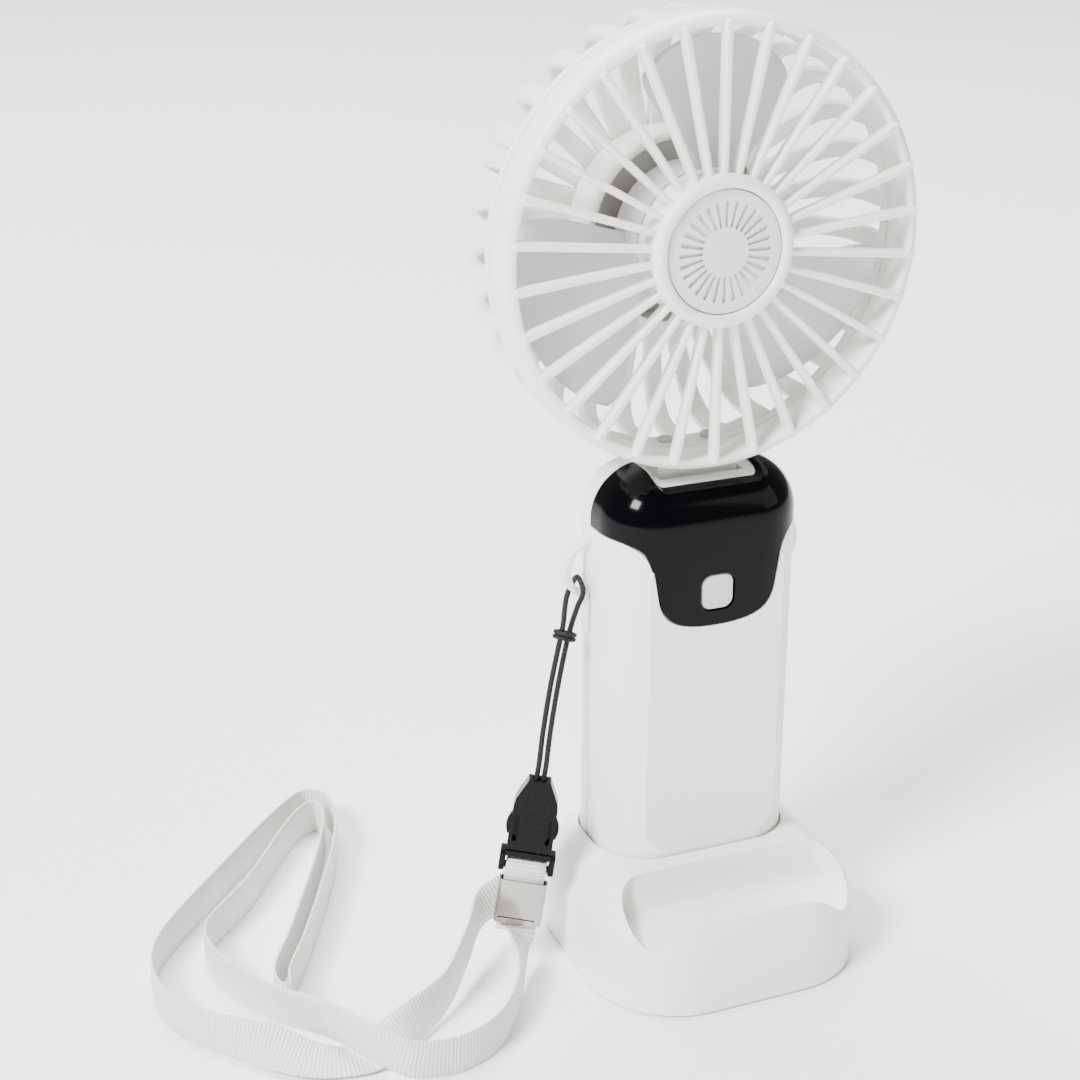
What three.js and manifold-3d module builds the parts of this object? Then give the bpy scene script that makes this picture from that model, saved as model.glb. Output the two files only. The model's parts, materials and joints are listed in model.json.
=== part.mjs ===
// Handheld electric fan standing in its dock, with a wrist strap. Millimetres, +Z up.
// Origin: centre of the dock's footprint on the ground. +X is to the viewer's right and -Y is the front.
import * as THREE from 'three';
import { mergeVertices } from 'three/addons/utils/BufferGeometryUtils.js';
import Module from 'manifold-3d';

const wasm = await Module();
wasm.setup();

// ---------------------------------------------------------------- driving dimensions
const GAP = 0.3; // clearance between neighbouring pieces
const SOCKET_GAP = 0.5; // clearance round the handle in the dock
const HOLE_GAP = 0.4; // clearance round screws and other round pieces in their holes

// Dock: a rounded square dome with a phone trough in front of the handle's socket.
const DOCK_WIDTH = 67;
const DOCK_DEPTH = 68;
const DOCK_CORNER = 21;
const DOCK_WALL_TOP = 12; // height at which the straight side turns into the dome
const DOCK_TOP = 27;
const DOCK_DOME_INSET = 11;
const DOCK_WALL = 2.2;
const FOOT_HEIGHT = 0.8;
const FOOT_RADIUS = 4;
const DOCK_PLATE = 1.6;
const SOCKET_FLOOR = 8;
const TROUGH_LENGTH = 57;
const TROUGH_BACK = -11.8; // Y of the trough's back edge at the dome
const TROUGH_FRONT = -31;
const TROUGH_CREASE_RUN = 3.6; // how far the sloping back wall comes forward
const TROUGH_CREASE_Z = 18;
const TROUGH_FLOOR_Z = 15.2;
const TROUGH_CORNER = 9;

// Handle: a rounded box of two shells with a display cover over the top of its front.
const HANDLE_Y = 9.3;
const HANDLE_WIDTH = 48.5;
const HANDLE_DEPTH = 32.6;
const HANDLE_TOP = 121.4;
const HANDLE_CORNER = 13;
const HANDLE_ROUND = 12.5; // rounding of both ends
const HANDLE_WALL = 2.2;
const PARTING_Y = 1.3; // back edge of the front shell
const PANEL_WIDTH = 34;
const PANEL_BOTTOM = 29;
const PANEL_TOP = 104;
const PANEL_CORNER = 6;
const COVER_THICK = 1.4;
const COVER_SHELF = 1.7; // thickness of the step of the shell that carries the cover
const COVER_SIDE_Z = 107.2; // where the cover's edge meets the shells' parting line
const TONGUE_HALF = 15.2;
const TONGUE_BOTTOM = 85.7;
const LUG_Z = 96;
const LUG_REACH = 7.3;
const LUG_HALF_HEIGHT = 7.4;
const LUG_BAR = 1.9;
const LUG_THICK = 3.5;

// Button and the electronics behind the cover
const BUTTON_WIDTH = 8.1;
const BUTTON_HEIGHT = 8.5;
const BUTTON_CORNER = 2.5;
const BUTTON_Z = 93.6;
const BUTTON_TRAVEL = 0.5;
const BOARD_WIDTH = 30;
const BOARD_BOTTOM = 60;
const BOARD_TOP = 101;
const BOARD_THICK = 1.2;
const BOARD_Y = -8.6; // front face of the circuit board
const SWITCH_SIDE = 6;
const SWITCH_DEPTH = 2.5;
const CELL_RADIUS = 9.2;
const CELL_LENGTH = 65;
const CELL_BOTTOM = 18.8;
const CELL_Y = 3;
const PORT_WIDTH = 9;
const PORT_HEIGHT = 3.2;
const PORT_Z = 36;

// Hinge that lets the head tilt
const HINGE_Z = 112.5;
const PIN_RADIUS = 1.5;
const NECK_WIDTH = 20;
const NECK_BARREL = 5.2;
const NECK_DEPTH = 8.4;
const WASHER_THICK = 0.6;
const EAR_THICK = 1.8;
const SADDLE_FLOOR = 119;
const SADDLE_FLAT = 18; // width of the saddle's level part
const SADDLE_FLARE = 4.7; // width of each rounded side of the saddle
const SLOT_FRONT = -6.5;
const SLOT_BACK = 7.9;

// Head: depths are measured backwards from the front face of the ribs.
const HEAD_Z = 172;
const HEAD_FRONT = -13.3; // ribs' front face, from the handle's axis
const RING_RADIUS = 50.5;
const RING_INNER = 47.3;
const RING_BACK = 10.6;
const RIB_COUNT = 30;
const RIB_REACH = 48.8;
const RIB_OUTER_WIDTH = 1.8;
const RIB_INNER_WIDTH = 1.5;
const RIB_DEPTH = 2.6;
const HUB_RADIUS = 16.9;
const CAP_RADIUS = 13.6;
const CAP_THICK = 1.8;
const CAP_FRONT = -1;
const CAP_SLOTS = 28;
const BAND_BACK = 14; // where the rear grille's solid band ends and its openings begin
const PAD_BACK = 18.3; // the same over the neck, where the band is deeper
const PAD_SPREAD = 20; // degrees to each side of the neck that the deeper band takes
const REAR_DEPTH = 35.5;
const PETAL_WIDTH = 4.3;
const REAR_WALL = 1.9;

// Impeller and motor
const BLADE_COUNT = 3;
const BLADE_TIP = 44.5;
const BLADE_THICK = 1.5;
const BLADE_MIDDLE = 14.3; // depth of the blades' middle
const IMPELLER_HUB = 16.5;
const ROTOR_RADIUS = 14.4;
const ROTOR_FRONT = 11;
const ROTOR_BACK = 25;
const ROTOR_WALL = 1.2;
const STATOR_LENGTH = 9;
const SHAFT_RADIUS = 1.5;
const BEARING_RADIUS = 4;
const BEARING_LENGTH = 3;
const POD_RADIUS = 22.5;
const POD_FRONT = 21.5;
const POD_WALL = 1.6;

// Fasteners
const SCREW_SHANK = 1;
const SCREW_HEAD = 2;
const SCREW_HEAD_HEIGHT = 1.2;
const SCREW_GRIP = 4.5; // how far the handle's screws reach into the front shell's posts

// Wrist strap
const CORD_RADIUS = 0.65;
const STRAP_WIDTH = 9.6;
const STRAP_THICK = 0.6;
const STRAP_LIFT = 0.15; // room under the strap where it rests

// ---------------------------------------------------------------- materials
const material = (name, color, roughness, metalness = 0) =>
  Object.assign(new THREE.MeshStandardMaterial({ color, roughness, metalness }), { name });
const WHITE = material('warm white plastic', 0xf3f1ec, 0.35);
const BLACK_GLOSS = material('gloss black plastic', 0x101216, 0.08);
const GREY = material('light grey plastic', 0xcdcdcf, 0.4);
const TINTED = material('translucent grey plastic', 0xb9bcbc, 0.3);
const DARK = material('black plastic', 0x1d1d1f, 0.45);
const STEEL = material('steel', 0xb8b8ba, 0.3, 1);
const COPPER = material('copper winding', 0xb06a3b, 0.4, 1);
const BOARD_GREEN = material('circuit board', 0x1f5a3a, 0.6);
const CELL_WRAP = material('battery wrap', 0x3f6fae, 0.5);
const RUBBER = material('grey rubber', 0x77777a, 0.9);
const RIBBON = material('white ribbon', 0xeceae6, 0.85);
const BRAID = material('black braided cord', 0x161616, 0.8);

// ---------------------------------------------------------------- solids
// Turns a closed three.js geometry into a solid whose faces point outwards.
function solid(geometry) {
  const bare = new THREE.BufferGeometry();
  bare.setAttribute('position', geometry.getAttribute('position').clone());
  if (geometry.index) bare.setIndex(geometry.index.clone());
  const merged = mergeVertices(bare, 1e-4);
  const position = merged.getAttribute('position');
  const faces = [];
  let volume = 0;
  const corners = [new THREE.Vector3(), new THREE.Vector3(), new THREE.Vector3()];
  for (let i = 0; i < merged.index.count; i += 3) {
    const face = [0, 1, 2].map((k) => merged.index.getX(i + k));
    if (new Set(face).size < 3) continue;
    faces.push(face);
    face.forEach((vertex, k) => corners[k].fromBufferAttribute(position, vertex));
    volume += corners[0].dot(corners[1].clone().cross(corners[2]));
  }
  if (volume < 0) faces.forEach((face) => face.reverse());
  return new wasm.Manifold(new wasm.Mesh({
    numProp: 3,
    vertProperties: new Float32Array(position.array),
    triVerts: new Uint32Array(faces.flat()),
  }));
}

function geometryOf(piece) {
  const { vertProperties, triVerts } = piece.getMesh();
  const geometry = new THREE.BufferGeometry();
  geometry.setAttribute('position', new THREE.BufferAttribute(vertProperties, 3));
  geometry.setIndex(new THREE.BufferAttribute(triVerts, 1));
  geometry.computeVertexNormals();
  return geometry;
}

function add(parent, name, piece, finish) {
  const mesh = new THREE.Mesh(geometryOf(piece), finish.clone());
  mesh.name = name;
  parent.add(mesh);
  return mesh;
}

const join = (pieces) => pieces.reduce((whole, piece) => whole.add(piece));
const cut = (piece, ...tools) => tools.reduce((rest, tool) => rest.subtract(tool), piece);

// Box between two corners
function box(x0, x1, y0, y1, z0, z1) {
  const geometry = new THREE.BoxGeometry(x1 - x0, y1 - y0, z1 - z0);
  return solid(geometry.translate((x0 + x1) / 2, (y0 + y1) / 2, (z0 + z1) / 2));
}

// Round rod along X, Y or Z, from one end to the other on that axis
function rod(axis, radius, from, to, centre, sides = 16) {
  const geometry = new THREE.CylinderGeometry(radius, radius, to - from, sides);
  if (axis === 'x') geometry.rotateZ(Math.PI / 2);
  if (axis === 'z') geometry.rotateX(Math.PI / 2);
  const middle = { x: centre[0], y: centre[1], z: centre[2] };
  middle[axis] = (from + to) / 2;
  return solid(geometry.translate(middle.x, middle.y, middle.z));
}

// Turned piece about the Y axis, from a closed or axis-to-axis profile of [radius, y] points
function turned(profile, segments) {
  return solid(new THREE.LatheGeometry(profile.map(([r, y]) => new THREE.Vector2(r, y)), segments));
}

// Tube with square ends about the Y axis
function tube(outer, inner, from, to, segments) {
  return turned([[inner, from], [outer, from], [outer, to], [inner, to], [inner, from]], segments);
}

function roundedRect(width, depth, radius, x = 0, y = 0) {
  const shape = new THREE.Shape();
  const [a, b] = [width / 2 - radius, depth / 2 - radius];
  shape.absarc(x + a, y + b, radius, 0, Math.PI / 2);
  shape.absarc(x - a, y + b, radius, Math.PI / 2, Math.PI);
  shape.absarc(x - a, y - b, radius, Math.PI, 1.5 * Math.PI);
  shape.absarc(x + a, y - b, radius, 1.5 * Math.PI, 2 * Math.PI);
  shape.closePath();
  return shape;
}

// Plate cut to a plan shape, standing from z0 to z1
function plate(shape, z0, z1, curveSegments = 4) {
  const geometry = new THREE.ExtrudeGeometry(shape, { depth: z1 - z0, bevelEnabled: false, curveSegments });
  return solid(geometry.translate(0, 0, z0));
}

// Plate cut to a front-view shape (x, z), reaching back from y0 to y1
function slab(shape, y0, y1, curveSegments = 4) {
  const geometry = new THREE.ExtrudeGeometry(shape, { depth: y1 - y0, bevelEnabled: false, curveSegments });
  return solid(geometry.rotateX(Math.PI / 2).translate(0, y1, 0));
}

function polygon(points) {
  return new THREE.Shape(points.map(([x, y]) => new THREE.Vector2(x, y)));
}

// Pan-head screw along the Y axis: head at y, shank going on to y + length
function screw(length) {
  return turned([
    [0, 0.6], [SCREW_HEAD * 0.45, 0], [SCREW_HEAD, 0.4], [SCREW_HEAD, SCREW_HEAD_HEIGHT],
    [SCREW_SHANK, SCREW_HEAD_HEIGHT], [SCREW_SHANK, length], [0, length],
  ], 8);
}

function addScrew(parent, name, length, place, turn = [0, 0, 0]) {
  const mesh = add(parent, name, screw(length), STEEL);
  mesh.position.set(...place);
  mesh.rotation.set(...turn);
}

// ---------------------------------------------------------------- dock
// Dome-topped block of the dock, drawn in by inset on every side
function dockBlock(inset) {
  const reach = DOCK_DOME_INSET;
  const shape = roundedRect(DOCK_WIDTH - 2 * (inset + reach), DOCK_DEPTH - 2 * (inset + reach),
    DOCK_CORNER - inset - reach);
  const geometry = new THREE.ExtrudeGeometry(shape, {
    depth: 2 * DOCK_WALL_TOP, bevelThickness: DOCK_TOP - DOCK_WALL_TOP - inset, bevelSize: reach,
    bevelSegments: 4, curveSegments: 3,
  });
  return solid(geometry.translate(0, 0, -DOCK_WALL_TOP));
}

const handleSection = (grow) => roundedRect(HANDLE_WIDTH + 2 * grow, HANDLE_DEPTH + 2 * grow,
  HANDLE_CORNER + grow, 0, HANDLE_Y);

// Space of the phone trough, grown by a wall where the dock's hollow has to stay clear of it
function trough(grow) {
  const middle = (TROUGH_BACK + TROUGH_FRONT) / 2;
  const plan = roundedRect(TROUGH_LENGTH + 2 * grow, TROUGH_BACK - TROUGH_FRONT + 2 * grow,
    TROUGH_CORNER + grow, 0, middle);
  const crease = TROUGH_BACK - TROUGH_CREASE_RUN;
  const side = polygon([
    [TROUGH_BACK + grow, DOCK_TOP], [crease + grow, TROUGH_CREASE_Z - grow],
    [TROUGH_FRONT - grow, TROUGH_FLOOR_Z - grow], [TROUGH_FRONT - grow, 2 * DOCK_TOP],
    [TROUGH_BACK + grow, 2 * DOCK_TOP],
  ]);
  const along = new THREE.ExtrudeGeometry(side, { depth: DOCK_WIDTH, bevelEnabled: false });
  along.rotateY(Math.PI / 2).rotateX(Math.PI / 2).translate(-DOCK_WIDTH / 2, 0, 0);
  return plate(plan, 0, 2 * DOCK_TOP, 5).intersect(solid(along));
}

const FOOT_PLACES = [[-1, -1], [1, -1], [1, 1], [-1, 1]].map(([x, y]) => [x * 20, y * 21]);
const DOCK_SCREWS = [[-25, 0], [25, 0]];

function buildDock(parent) {
  const bottom = FOOT_HEIGHT - 0.3;
  const plateTop = bottom + 0.4 + DOCK_PLATE;
  const lowBox = (z) => box(-DOCK_WIDTH, DOCK_WIDTH, -DOCK_DEPTH, DOCK_DEPTH, -DOCK_TOP, z);
  const socketWall = plate(handleSection(HOLE_GAP + DOCK_WALL), SOCKET_FLOOR - DOCK_WALL, 2 * DOCK_TOP);
  const hollow = cut(dockBlock(DOCK_WALL), socketWall, trough(DOCK_WALL));
  const posts = DOCK_SCREWS.map(([x, y]) => rod('z', 3, plateTop + GAP, DOCK_WALL_TOP + 2, [x, y, 0], 12));
  const pilots = DOCK_SCREWS.map(([x, y]) => rod('z', SCREW_SHANK + HOLE_GAP, 0, 9, [x, y, 0], 10));
  const socket = plate(handleSection(SOCKET_GAP), SOCKET_FLOOR, 2 * DOCK_TOP);
  const shell = cut(dockBlock(0), hollow.subtract(join(posts)), trough(0), socket, lowBox(bottom),
    ...pilots);
  add(parent, 'dock_shell', shell, WHITE);

  const inset = DOCK_WALL + GAP;
  const lid = plate(roundedRect(DOCK_WIDTH - 2 * inset, DOCK_DEPTH - 2 * inset, DOCK_CORNER - inset),
    plateTop - DOCK_PLATE, plateTop, 3);
  const holes = DOCK_SCREWS.flatMap(([x, y]) => [
    rod('z', SCREW_SHANK + HOLE_GAP, 0, 9, [x, y, 0], 10),
    rod('z', SCREW_HEAD + HOLE_GAP, 0, plateTop - 0.7, [x, y, 0], 12),
  ]);
  const pockets = FOOT_PLACES.map(([x, y]) => rod('z', FOOT_RADIUS + GAP, 0, plateTop - 1, [x, y, 0], 16));
  add(parent, 'dock_bottom_plate', cut(lid, ...holes, ...pockets), WHITE);

  FOOT_PLACES.forEach(([x, y], i) => {
    add(parent, `dock_foot_${i + 1}`, rod('z', FOOT_RADIUS, 0, plateTop - 1 - GAP, [x, y, 0], 16), RUBBER);
  });
  const headSeat = plateTop - 0.7 - GAP;
  DOCK_SCREWS.forEach(([x, y], i) => {
    addScrew(parent, `dock_screw_${i + 1}`, 6, [x, y, headSeat - SCREW_HEAD_HEIGHT], [Math.PI / 2, 0, 0]);
  });
}

// ---------------------------------------------------------------- handle
// Whole outside of the handle, drawn in by inset on every side
function handleBlock(inset) {
  const bottom = SOCKET_FLOOR + GAP;
  const round = HANDLE_ROUND - inset;
  const shape = roundedRect(HANDLE_WIDTH - 2 * HANDLE_ROUND, HANDLE_DEPTH - 2 * HANDLE_ROUND,
    HANDLE_CORNER - HANDLE_ROUND);
  const geometry = new THREE.ExtrudeGeometry(shape, {
    depth: HANDLE_TOP - bottom - 2 * HANDLE_ROUND, bevelThickness: round, bevelSize: round,
    bevelSegments: 4, curveSegments: 3,
  });
  return solid(geometry.translate(0, 0, bottom + HANDLE_ROUND));
}

const far = 2 * HANDLE_TOP;
const behind = (y) => box(-far, far, y, far, -far, far);
const inFront = (y) => box(-far, far, -far, y, -far, far);

// Front view of the display cover: full width at the top, a tongue round the button below
function coverRegion(grow) {
  const side = HANDLE_WIDTH;
  const shoulder = COVER_SIDE_Z - grow;
  const half = TONGUE_HALF + grow;
  const bottom = TONGUE_BOTTOM - grow;
  const shape = new THREE.Shape();
  shape.moveTo(side, 2 * HANDLE_TOP);
  shape.lineTo(side, shoulder);
  shape.lineTo(half + 8.3, shoulder);
  shape.bezierCurveTo(half + 4.6, shoulder, half + 1.4, shoulder - 2.5, half + 0.7, shoulder - 7);
  shape.lineTo(half - 0.6, bottom + 7.5);
  shape.bezierCurveTo(half - 1.6, bottom + 3, half - 4.5, bottom, 0, bottom);
  shape.bezierCurveTo(-half + 4.5, bottom, -half + 1.6, bottom + 3, -half + 0.6, bottom + 7.5);
  shape.lineTo(-half - 0.7, shoulder - 7);
  shape.bezierCurveTo(-half - 1.4, shoulder - 2.5, -half - 4.6, shoulder, -half - 8.3, shoulder);
  shape.lineTo(-side, shoulder);
  shape.lineTo(-side, 2 * HANDLE_TOP);
  return slab(shape, -HANDLE_DEPTH, PARTING_Y + 5, 5);
}

// Channel across the handle's top that clears the head's ring, and the slot for the neck
function saddle() {
  const reach = HANDLE_DEPTH / 2 + 3;
  const flat = SLOT_BACK - 1.9;
  const side = polygon([
    [-reach, SADDLE_FLOOR - 2.5], [-flat, SADDLE_FLOOR], [flat, SADDLE_FLOOR],
    [reach, SADDLE_FLOOR - 6], [reach, SADDLE_FLOOR + 8], [-reach, SADDLE_FLOOR + 8],
  ]);
  const geometry = new THREE.ExtrudeGeometry(side, {
    depth: SADDLE_FLAT, bevelThickness: SADDLE_FLARE, bevelSize: 2.5, bevelOffset: -2.5, bevelSegments: 3,
  });
  geometry.rotateY(Math.PI / 2).rotateX(Math.PI / 2).translate(-SADDLE_FLAT / 2, 0, 0);
  const half = NECK_WIDTH / 2 + 2 * GAP;
  const slot = box(-half, half, SLOT_FRONT, SLOT_BACK, HINGE_Z, HANDLE_TOP + 5);
  return solid(geometry).add(slot);
}

const POST_RADIUS = 3;
const HANDLE_SCREWS = [[-10, 15.2], [10, 15.2], [-15.5, 88.5], [15.5, 88.5]];

const lugShape = (x, reach, halfHeight) => {
  const shape = new THREE.Shape();
  shape.moveTo(x, LUG_Z - halfHeight);
  shape.absellipse(x, LUG_Z, reach, halfHeight, -Math.PI / 2, Math.PI / 2);
  shape.closePath();
  return shape;
};

// Strap loop on the handle's right side; the left one is its mirror image
function lug(sign) {
  const root = HANDLE_WIDTH / 2 - 1;
  const eye = HANDLE_WIDTH / 2 + GAP;
  const [y0, y1] = [PARTING_Y + GAP, PARTING_Y + GAP + LUG_THICK];
  const loop = cut(slab(lugShape(root, LUG_REACH, LUG_HALF_HEIGHT), y0, y1, 8),
    slab(lugShape(eye, LUG_REACH - 1 - GAP - LUG_BAR, LUG_HALF_HEIGHT - LUG_BAR), y0 - 1, y1 + 1, 6));
  return sign > 0 ? loop : loop.mirror([1, 0, 0]);
}

function buttonHole(grow, y0, y1) {
  return slab(roundedRect(BUTTON_WIDTH + 2 * grow, BUTTON_HEIGHT + 2 * grow, BUTTON_CORNER + grow,
    0, BUTTON_Z), y0, y1);
}

function buildHandleShells(parent) {
  const front = -HANDLE_DEPTH / 2;
  const skin = handleBlock(0).subtract(handleBlock(HANDLE_WALL));
  const panelHeight = PANEL_TOP - PANEL_BOTTOM;
  const panel = slab(roundedRect(PANEL_WIDTH, panelHeight, PANEL_CORNER, 0, PANEL_BOTTOM + panelHeight / 2),
    front, front + HANDLE_WALL - 0.1, 4);
  const shelfSkin = handleBlock(COVER_THICK + GAP).subtract(handleBlock(COVER_THICK + GAP + COVER_SHELF));
  const shelf = shelfSkin.intersect(coverRegion(2.5));
  const posts = HANDLE_SCREWS.map(([x, z]) => rod('y', POST_RADIUS, front + 1, PARTING_Y, [x, 0, z], 12));
  const pilots = HANDLE_SCREWS.map(([x, z]) => rod('y', SCREW_SHANK + HOLE_GAP, -9, 30, [x, 0, z], 10));
  const postCore = join(posts).intersect(handleBlock(COVER_THICK + GAP + 0.5));
  const window = box(-11, 11, front, 0, 100.6, 109);
  const buttonRoom = buttonHole(1.4 + 2 * GAP, front, 0);
  const clearance = saddle();
  const frontShell = cut(skin.add(panel).subtract(coverRegion(GAP)).add(shelf).intersect(inFront(PARTING_Y))
    .add(postCore), clearance, window, buttonRoom, ...pilots);
  add(parent, 'handle_front_shell', frontShell, WHITE);

  const cover = cut(handleBlock(0).subtract(handleBlock(COVER_THICK)).intersect(coverRegion(0)),
    behind(PARTING_Y), clearance, buttonHole(GAP, front - 5, 0));
  add(parent, 'display_cover', cover, BLACK_GLOSS);

  const back = HANDLE_DEPTH / 2;
  const liner = handleBlock(COVER_THICK).subtract(handleBlock(HANDLE_WALL + 2.2))
    .intersect(box(-17, 17, -far, far, HINGE_Z - 2, far));
  const postFront = PARTING_Y + GAP;
  const rearPosts = HANDLE_SCREWS.map(([x, z]) => rod('y', POST_RADIUS, postFront, back - 1, [x, 0, z], 12));
  const headSeat = back - 3;
  const headRoom = SCREW_HEAD + HOLE_GAP;
  const headHoles = HANDLE_SCREWS.map(([x, z]) => rod('y', headRoom, headSeat, far, [x, 0, z], 12));
  const portHole = slab(roundedRect(PORT_WIDTH + 2 * GAP, PORT_HEIGHT + 2 * GAP, PORT_HEIGHT / 2, 0, PORT_Z),
    back - 5, back + 5);
  const rearPostCore = join(rearPosts).intersect(handleBlock(0.5));
  const rearShell = cut(skin.add(liner).add(rearPostCore).intersect(behind(PARTING_Y + GAP))
    .add(lug(1)).add(lug(-1)), clearance, portHole, ...headHoles, ...pilots);
  add(parent, 'handle_rear_shell', rearShell, WHITE);
  const screwTop = headSeat + GAP + SCREW_HEAD_HEIGHT;
  HANDLE_SCREWS.forEach(([x, z], i) => {
    addScrew(parent, `handle_screw_${i + 1}`, screwTop - PARTING_Y + SCREW_GRIP, [x, screwTop, z],
      [Math.PI, 0, 0]);
  });
}

function buildButton(parent) {
  const front = -HANDLE_DEPTH / 2;
  const flangeFront = front + COVER_THICK + GAP;
  const face = slab(roundedRect(BUTTON_WIDTH, BUTTON_HEIGHT, BUTTON_CORNER, 0, BUTTON_Z),
    front + 0.2, flangeFront + 0.2);
  const flange = slab(roundedRect(BUTTON_WIDTH + 2.2, BUTTON_HEIGHT + 2.2, BUTTON_CORNER + 1, 0, BUTTON_Z),
    flangeFront, flangeFront + 1);
  const stem = rod('y', 1.6, flangeFront + 0.5, BOARD_Y - 2 * GAP - SWITCH_DEPTH - 0.8 - BUTTON_TRAVEL,
    [0, 0, BUTTON_Z], 12);
  add(parent, 'power_button', join([face, flange, stem]), GREY);
}

function buildElectronics(parent) {
  const half = BOARD_WIDTH / 2;
  const notches = [-1, 1].map((s) => rod('y', POST_RADIUS + GAP, -20, 0, [s * 15.5, 0, 88.5], 12));
  const board = cut(box(-half, half, BOARD_Y, BOARD_Y + BOARD_THICK, BOARD_BOTTOM, BOARD_TOP), ...notches);
  add(parent, 'circuit_board', board, BOARD_GREEN);

  const side = SWITCH_SIDE / 2;
  const switchBack = BOARD_Y - GAP;
  const body = box(-side, side, switchBack - SWITCH_DEPTH, switchBack, BUTTON_Z - side, BUTTON_Z + side);
  const plunger = rod('y', 1.4, switchBack - SWITCH_DEPTH - 0.8, switchBack - 1, [0, 0, BUTTON_Z], 12);
  add(parent, 'button_switch', body.add(plunger), DARK);

  const front = -HANDLE_DEPTH / 2;
  add(parent, 'display_module', box(-10, 10, front + 2, front + 4.6, 101.3, 108.3), DARK);

  [-1, 1].forEach((s) => {
    const name = s < 0 ? 'battery_cell_left' : 'battery_cell_right';
    const centre = [s * (CELL_RADIUS + GAP), CELL_Y, 0];
    const can = rod('z', CELL_RADIUS, CELL_BOTTOM, CELL_BOTTOM + CELL_LENGTH, centre, 20);
    const cap = rod('z', 2.7, CELL_BOTTOM + CELL_LENGTH - 1, CELL_BOTTOM + CELL_LENGTH + 0.7, centre, 12);
    add(parent, name, can.add(cap), CELL_WRAP);
  });

  const back = HANDLE_DEPTH / 2;
  const depth = back - (CELL_Y + CELL_RADIUS) - 2 * GAP;
  const shell = slab(roundedRect(PORT_WIDTH, PORT_HEIGHT, PORT_HEIGHT / 2 - 0.05, 0, PORT_Z),
    back - GAP - depth, back - GAP, 4);
  const mouth = slab(roundedRect(PORT_WIDTH - 0.8, PORT_HEIGHT - 0.8, PORT_HEIGHT / 2 - 0.45, 0, PORT_Z),
    back - GAP - depth + 0.8, back + 1, 4);
  const tongue = box(-3, 3, back - GAP - depth + 0.5, back - 1.2, PORT_Z - 0.35, PORT_Z + 0.35);
  add(parent, 'usb_charging_port', shell.subtract(mouth).add(tongue), STEEL);
}

// ---------------------------------------------------------------- tilting hinge
function buildHingeBracket(parent) {
  const inner = NECK_WIDTH / 2 + 2 * GAP + WASHER_THICK;
  const outer = inner + EAR_THICK;
  const ears = [-1, 1].map((s) => {
    const from = s < 0 ? -outer : inner;
    const round = rod('x', 3.6, from, from + EAR_THICK, [0, 0, HINGE_Z], 16);
    return round.add(box(from, from + EAR_THICK, -3.6, 3.6, HINGE_Z - 8.5, HINGE_Z));
  });
  const base = box(-outer, outer, -3.6, 8.4, HINGE_Z - 9.5, HINGE_Z - 7.9);
  const tabs = box(-outer, outer, 6.8, 8.4, HINGE_Z - 15, HINGE_Z - 7.9);
  const bores = rod('x', PIN_RADIUS + GAP, -outer - 1, outer + 1, [0, 0, HINGE_Z], 16);
  const holes = [-1, 1].map((s) => rod('y', SCREW_SHANK + HOLE_GAP, 5, 10, [s * 7, 0, HINGE_Z - 12.3], 10));
  add(parent, 'hinge_bracket', cut(join([...ears, base, tabs]), bores, ...holes), STEEL);
  const screwY = 6.8 - GAP - SCREW_HEAD_HEIGHT;
  [-1, 1].forEach((s, i) => {
    addScrew(parent, `hinge_bracket_screw_${i + 1}`, 5, [s * 7, screwY, HINGE_Z - 12.3]);
  });
  add(parent, 'hinge_pin', rod('x', PIN_RADIUS, -outer - 0.6, outer + 0.6, [0, 0, HINGE_Z], 16), STEEL);
  [-1, 1].forEach((s) => {
    const name = s < 0 ? 'friction_washer_left' : 'friction_washer_right';
    const from = s < 0 ? -inner + GAP : NECK_WIDTH / 2 + GAP;
    const disc = rod('x', 3.2, from, from + WASHER_THICK, [0, 0, HINGE_Z], 16);
    const bore = rod('x', PIN_RADIUS + GAP, -outer, outer, [0, 0, HINGE_Z], 16);
    add(parent, name, disc.subtract(bore), DARK);
  });
}

const NECK_SCREWS = [-5.5, 5.5];
const NECK_SCREW_Y = 1.9;

// The neck hangs on the pin and carries the head.
function buildNeck(parent) {
  const half = NECK_WIDTH / 2;
  const stem = slab(roundedRect(NECK_WIDTH, 2 * (HANDLE_TOP - HINGE_Z + 2), 3, 0, HINGE_Z),
    -NECK_DEPTH / 2, NECK_DEPTH / 2).intersect(box(-half, half, -far, far, HINGE_Z, far));
  const barrel = rod('x', NECK_BARREL, -half, half, [0, 0, HINGE_Z], 20);
  const bore = rod('x', PIN_RADIUS + GAP, -half - 1, half + 1, [0, 0, HINGE_Z], 16);
  const ringSeat = rod('y', RING_RADIUS + GAP, -far, far, [0, 0, HEAD_Z], 60);
  const pilot = SCREW_SHANK + HOLE_GAP;
  const pilots = NECK_SCREWS.map((x) => rod('z', pilot, HINGE_Z + 3, HEAD_Z, [x, NECK_SCREW_Y, 0], 10));
  add(parent, 'neck', cut(stem.add(barrel), bore, ringSeat, ...pilots), WHITE);
  const seat = HEAD_Z - RING_INNER + GAP;
  NECK_SCREWS.forEach((x, i) => {
    const place = [x, NECK_SCREW_Y, seat + SCREW_HEAD_HEIGHT];
    addScrew(parent, `neck_screw_${i + 1}`, 9, place, [-Math.PI / 2, 0, 0]);
  });
}

// ---------------------------------------------------------------- head
const spin = (geometry, angle) => geometry.rotateY(angle);

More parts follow.
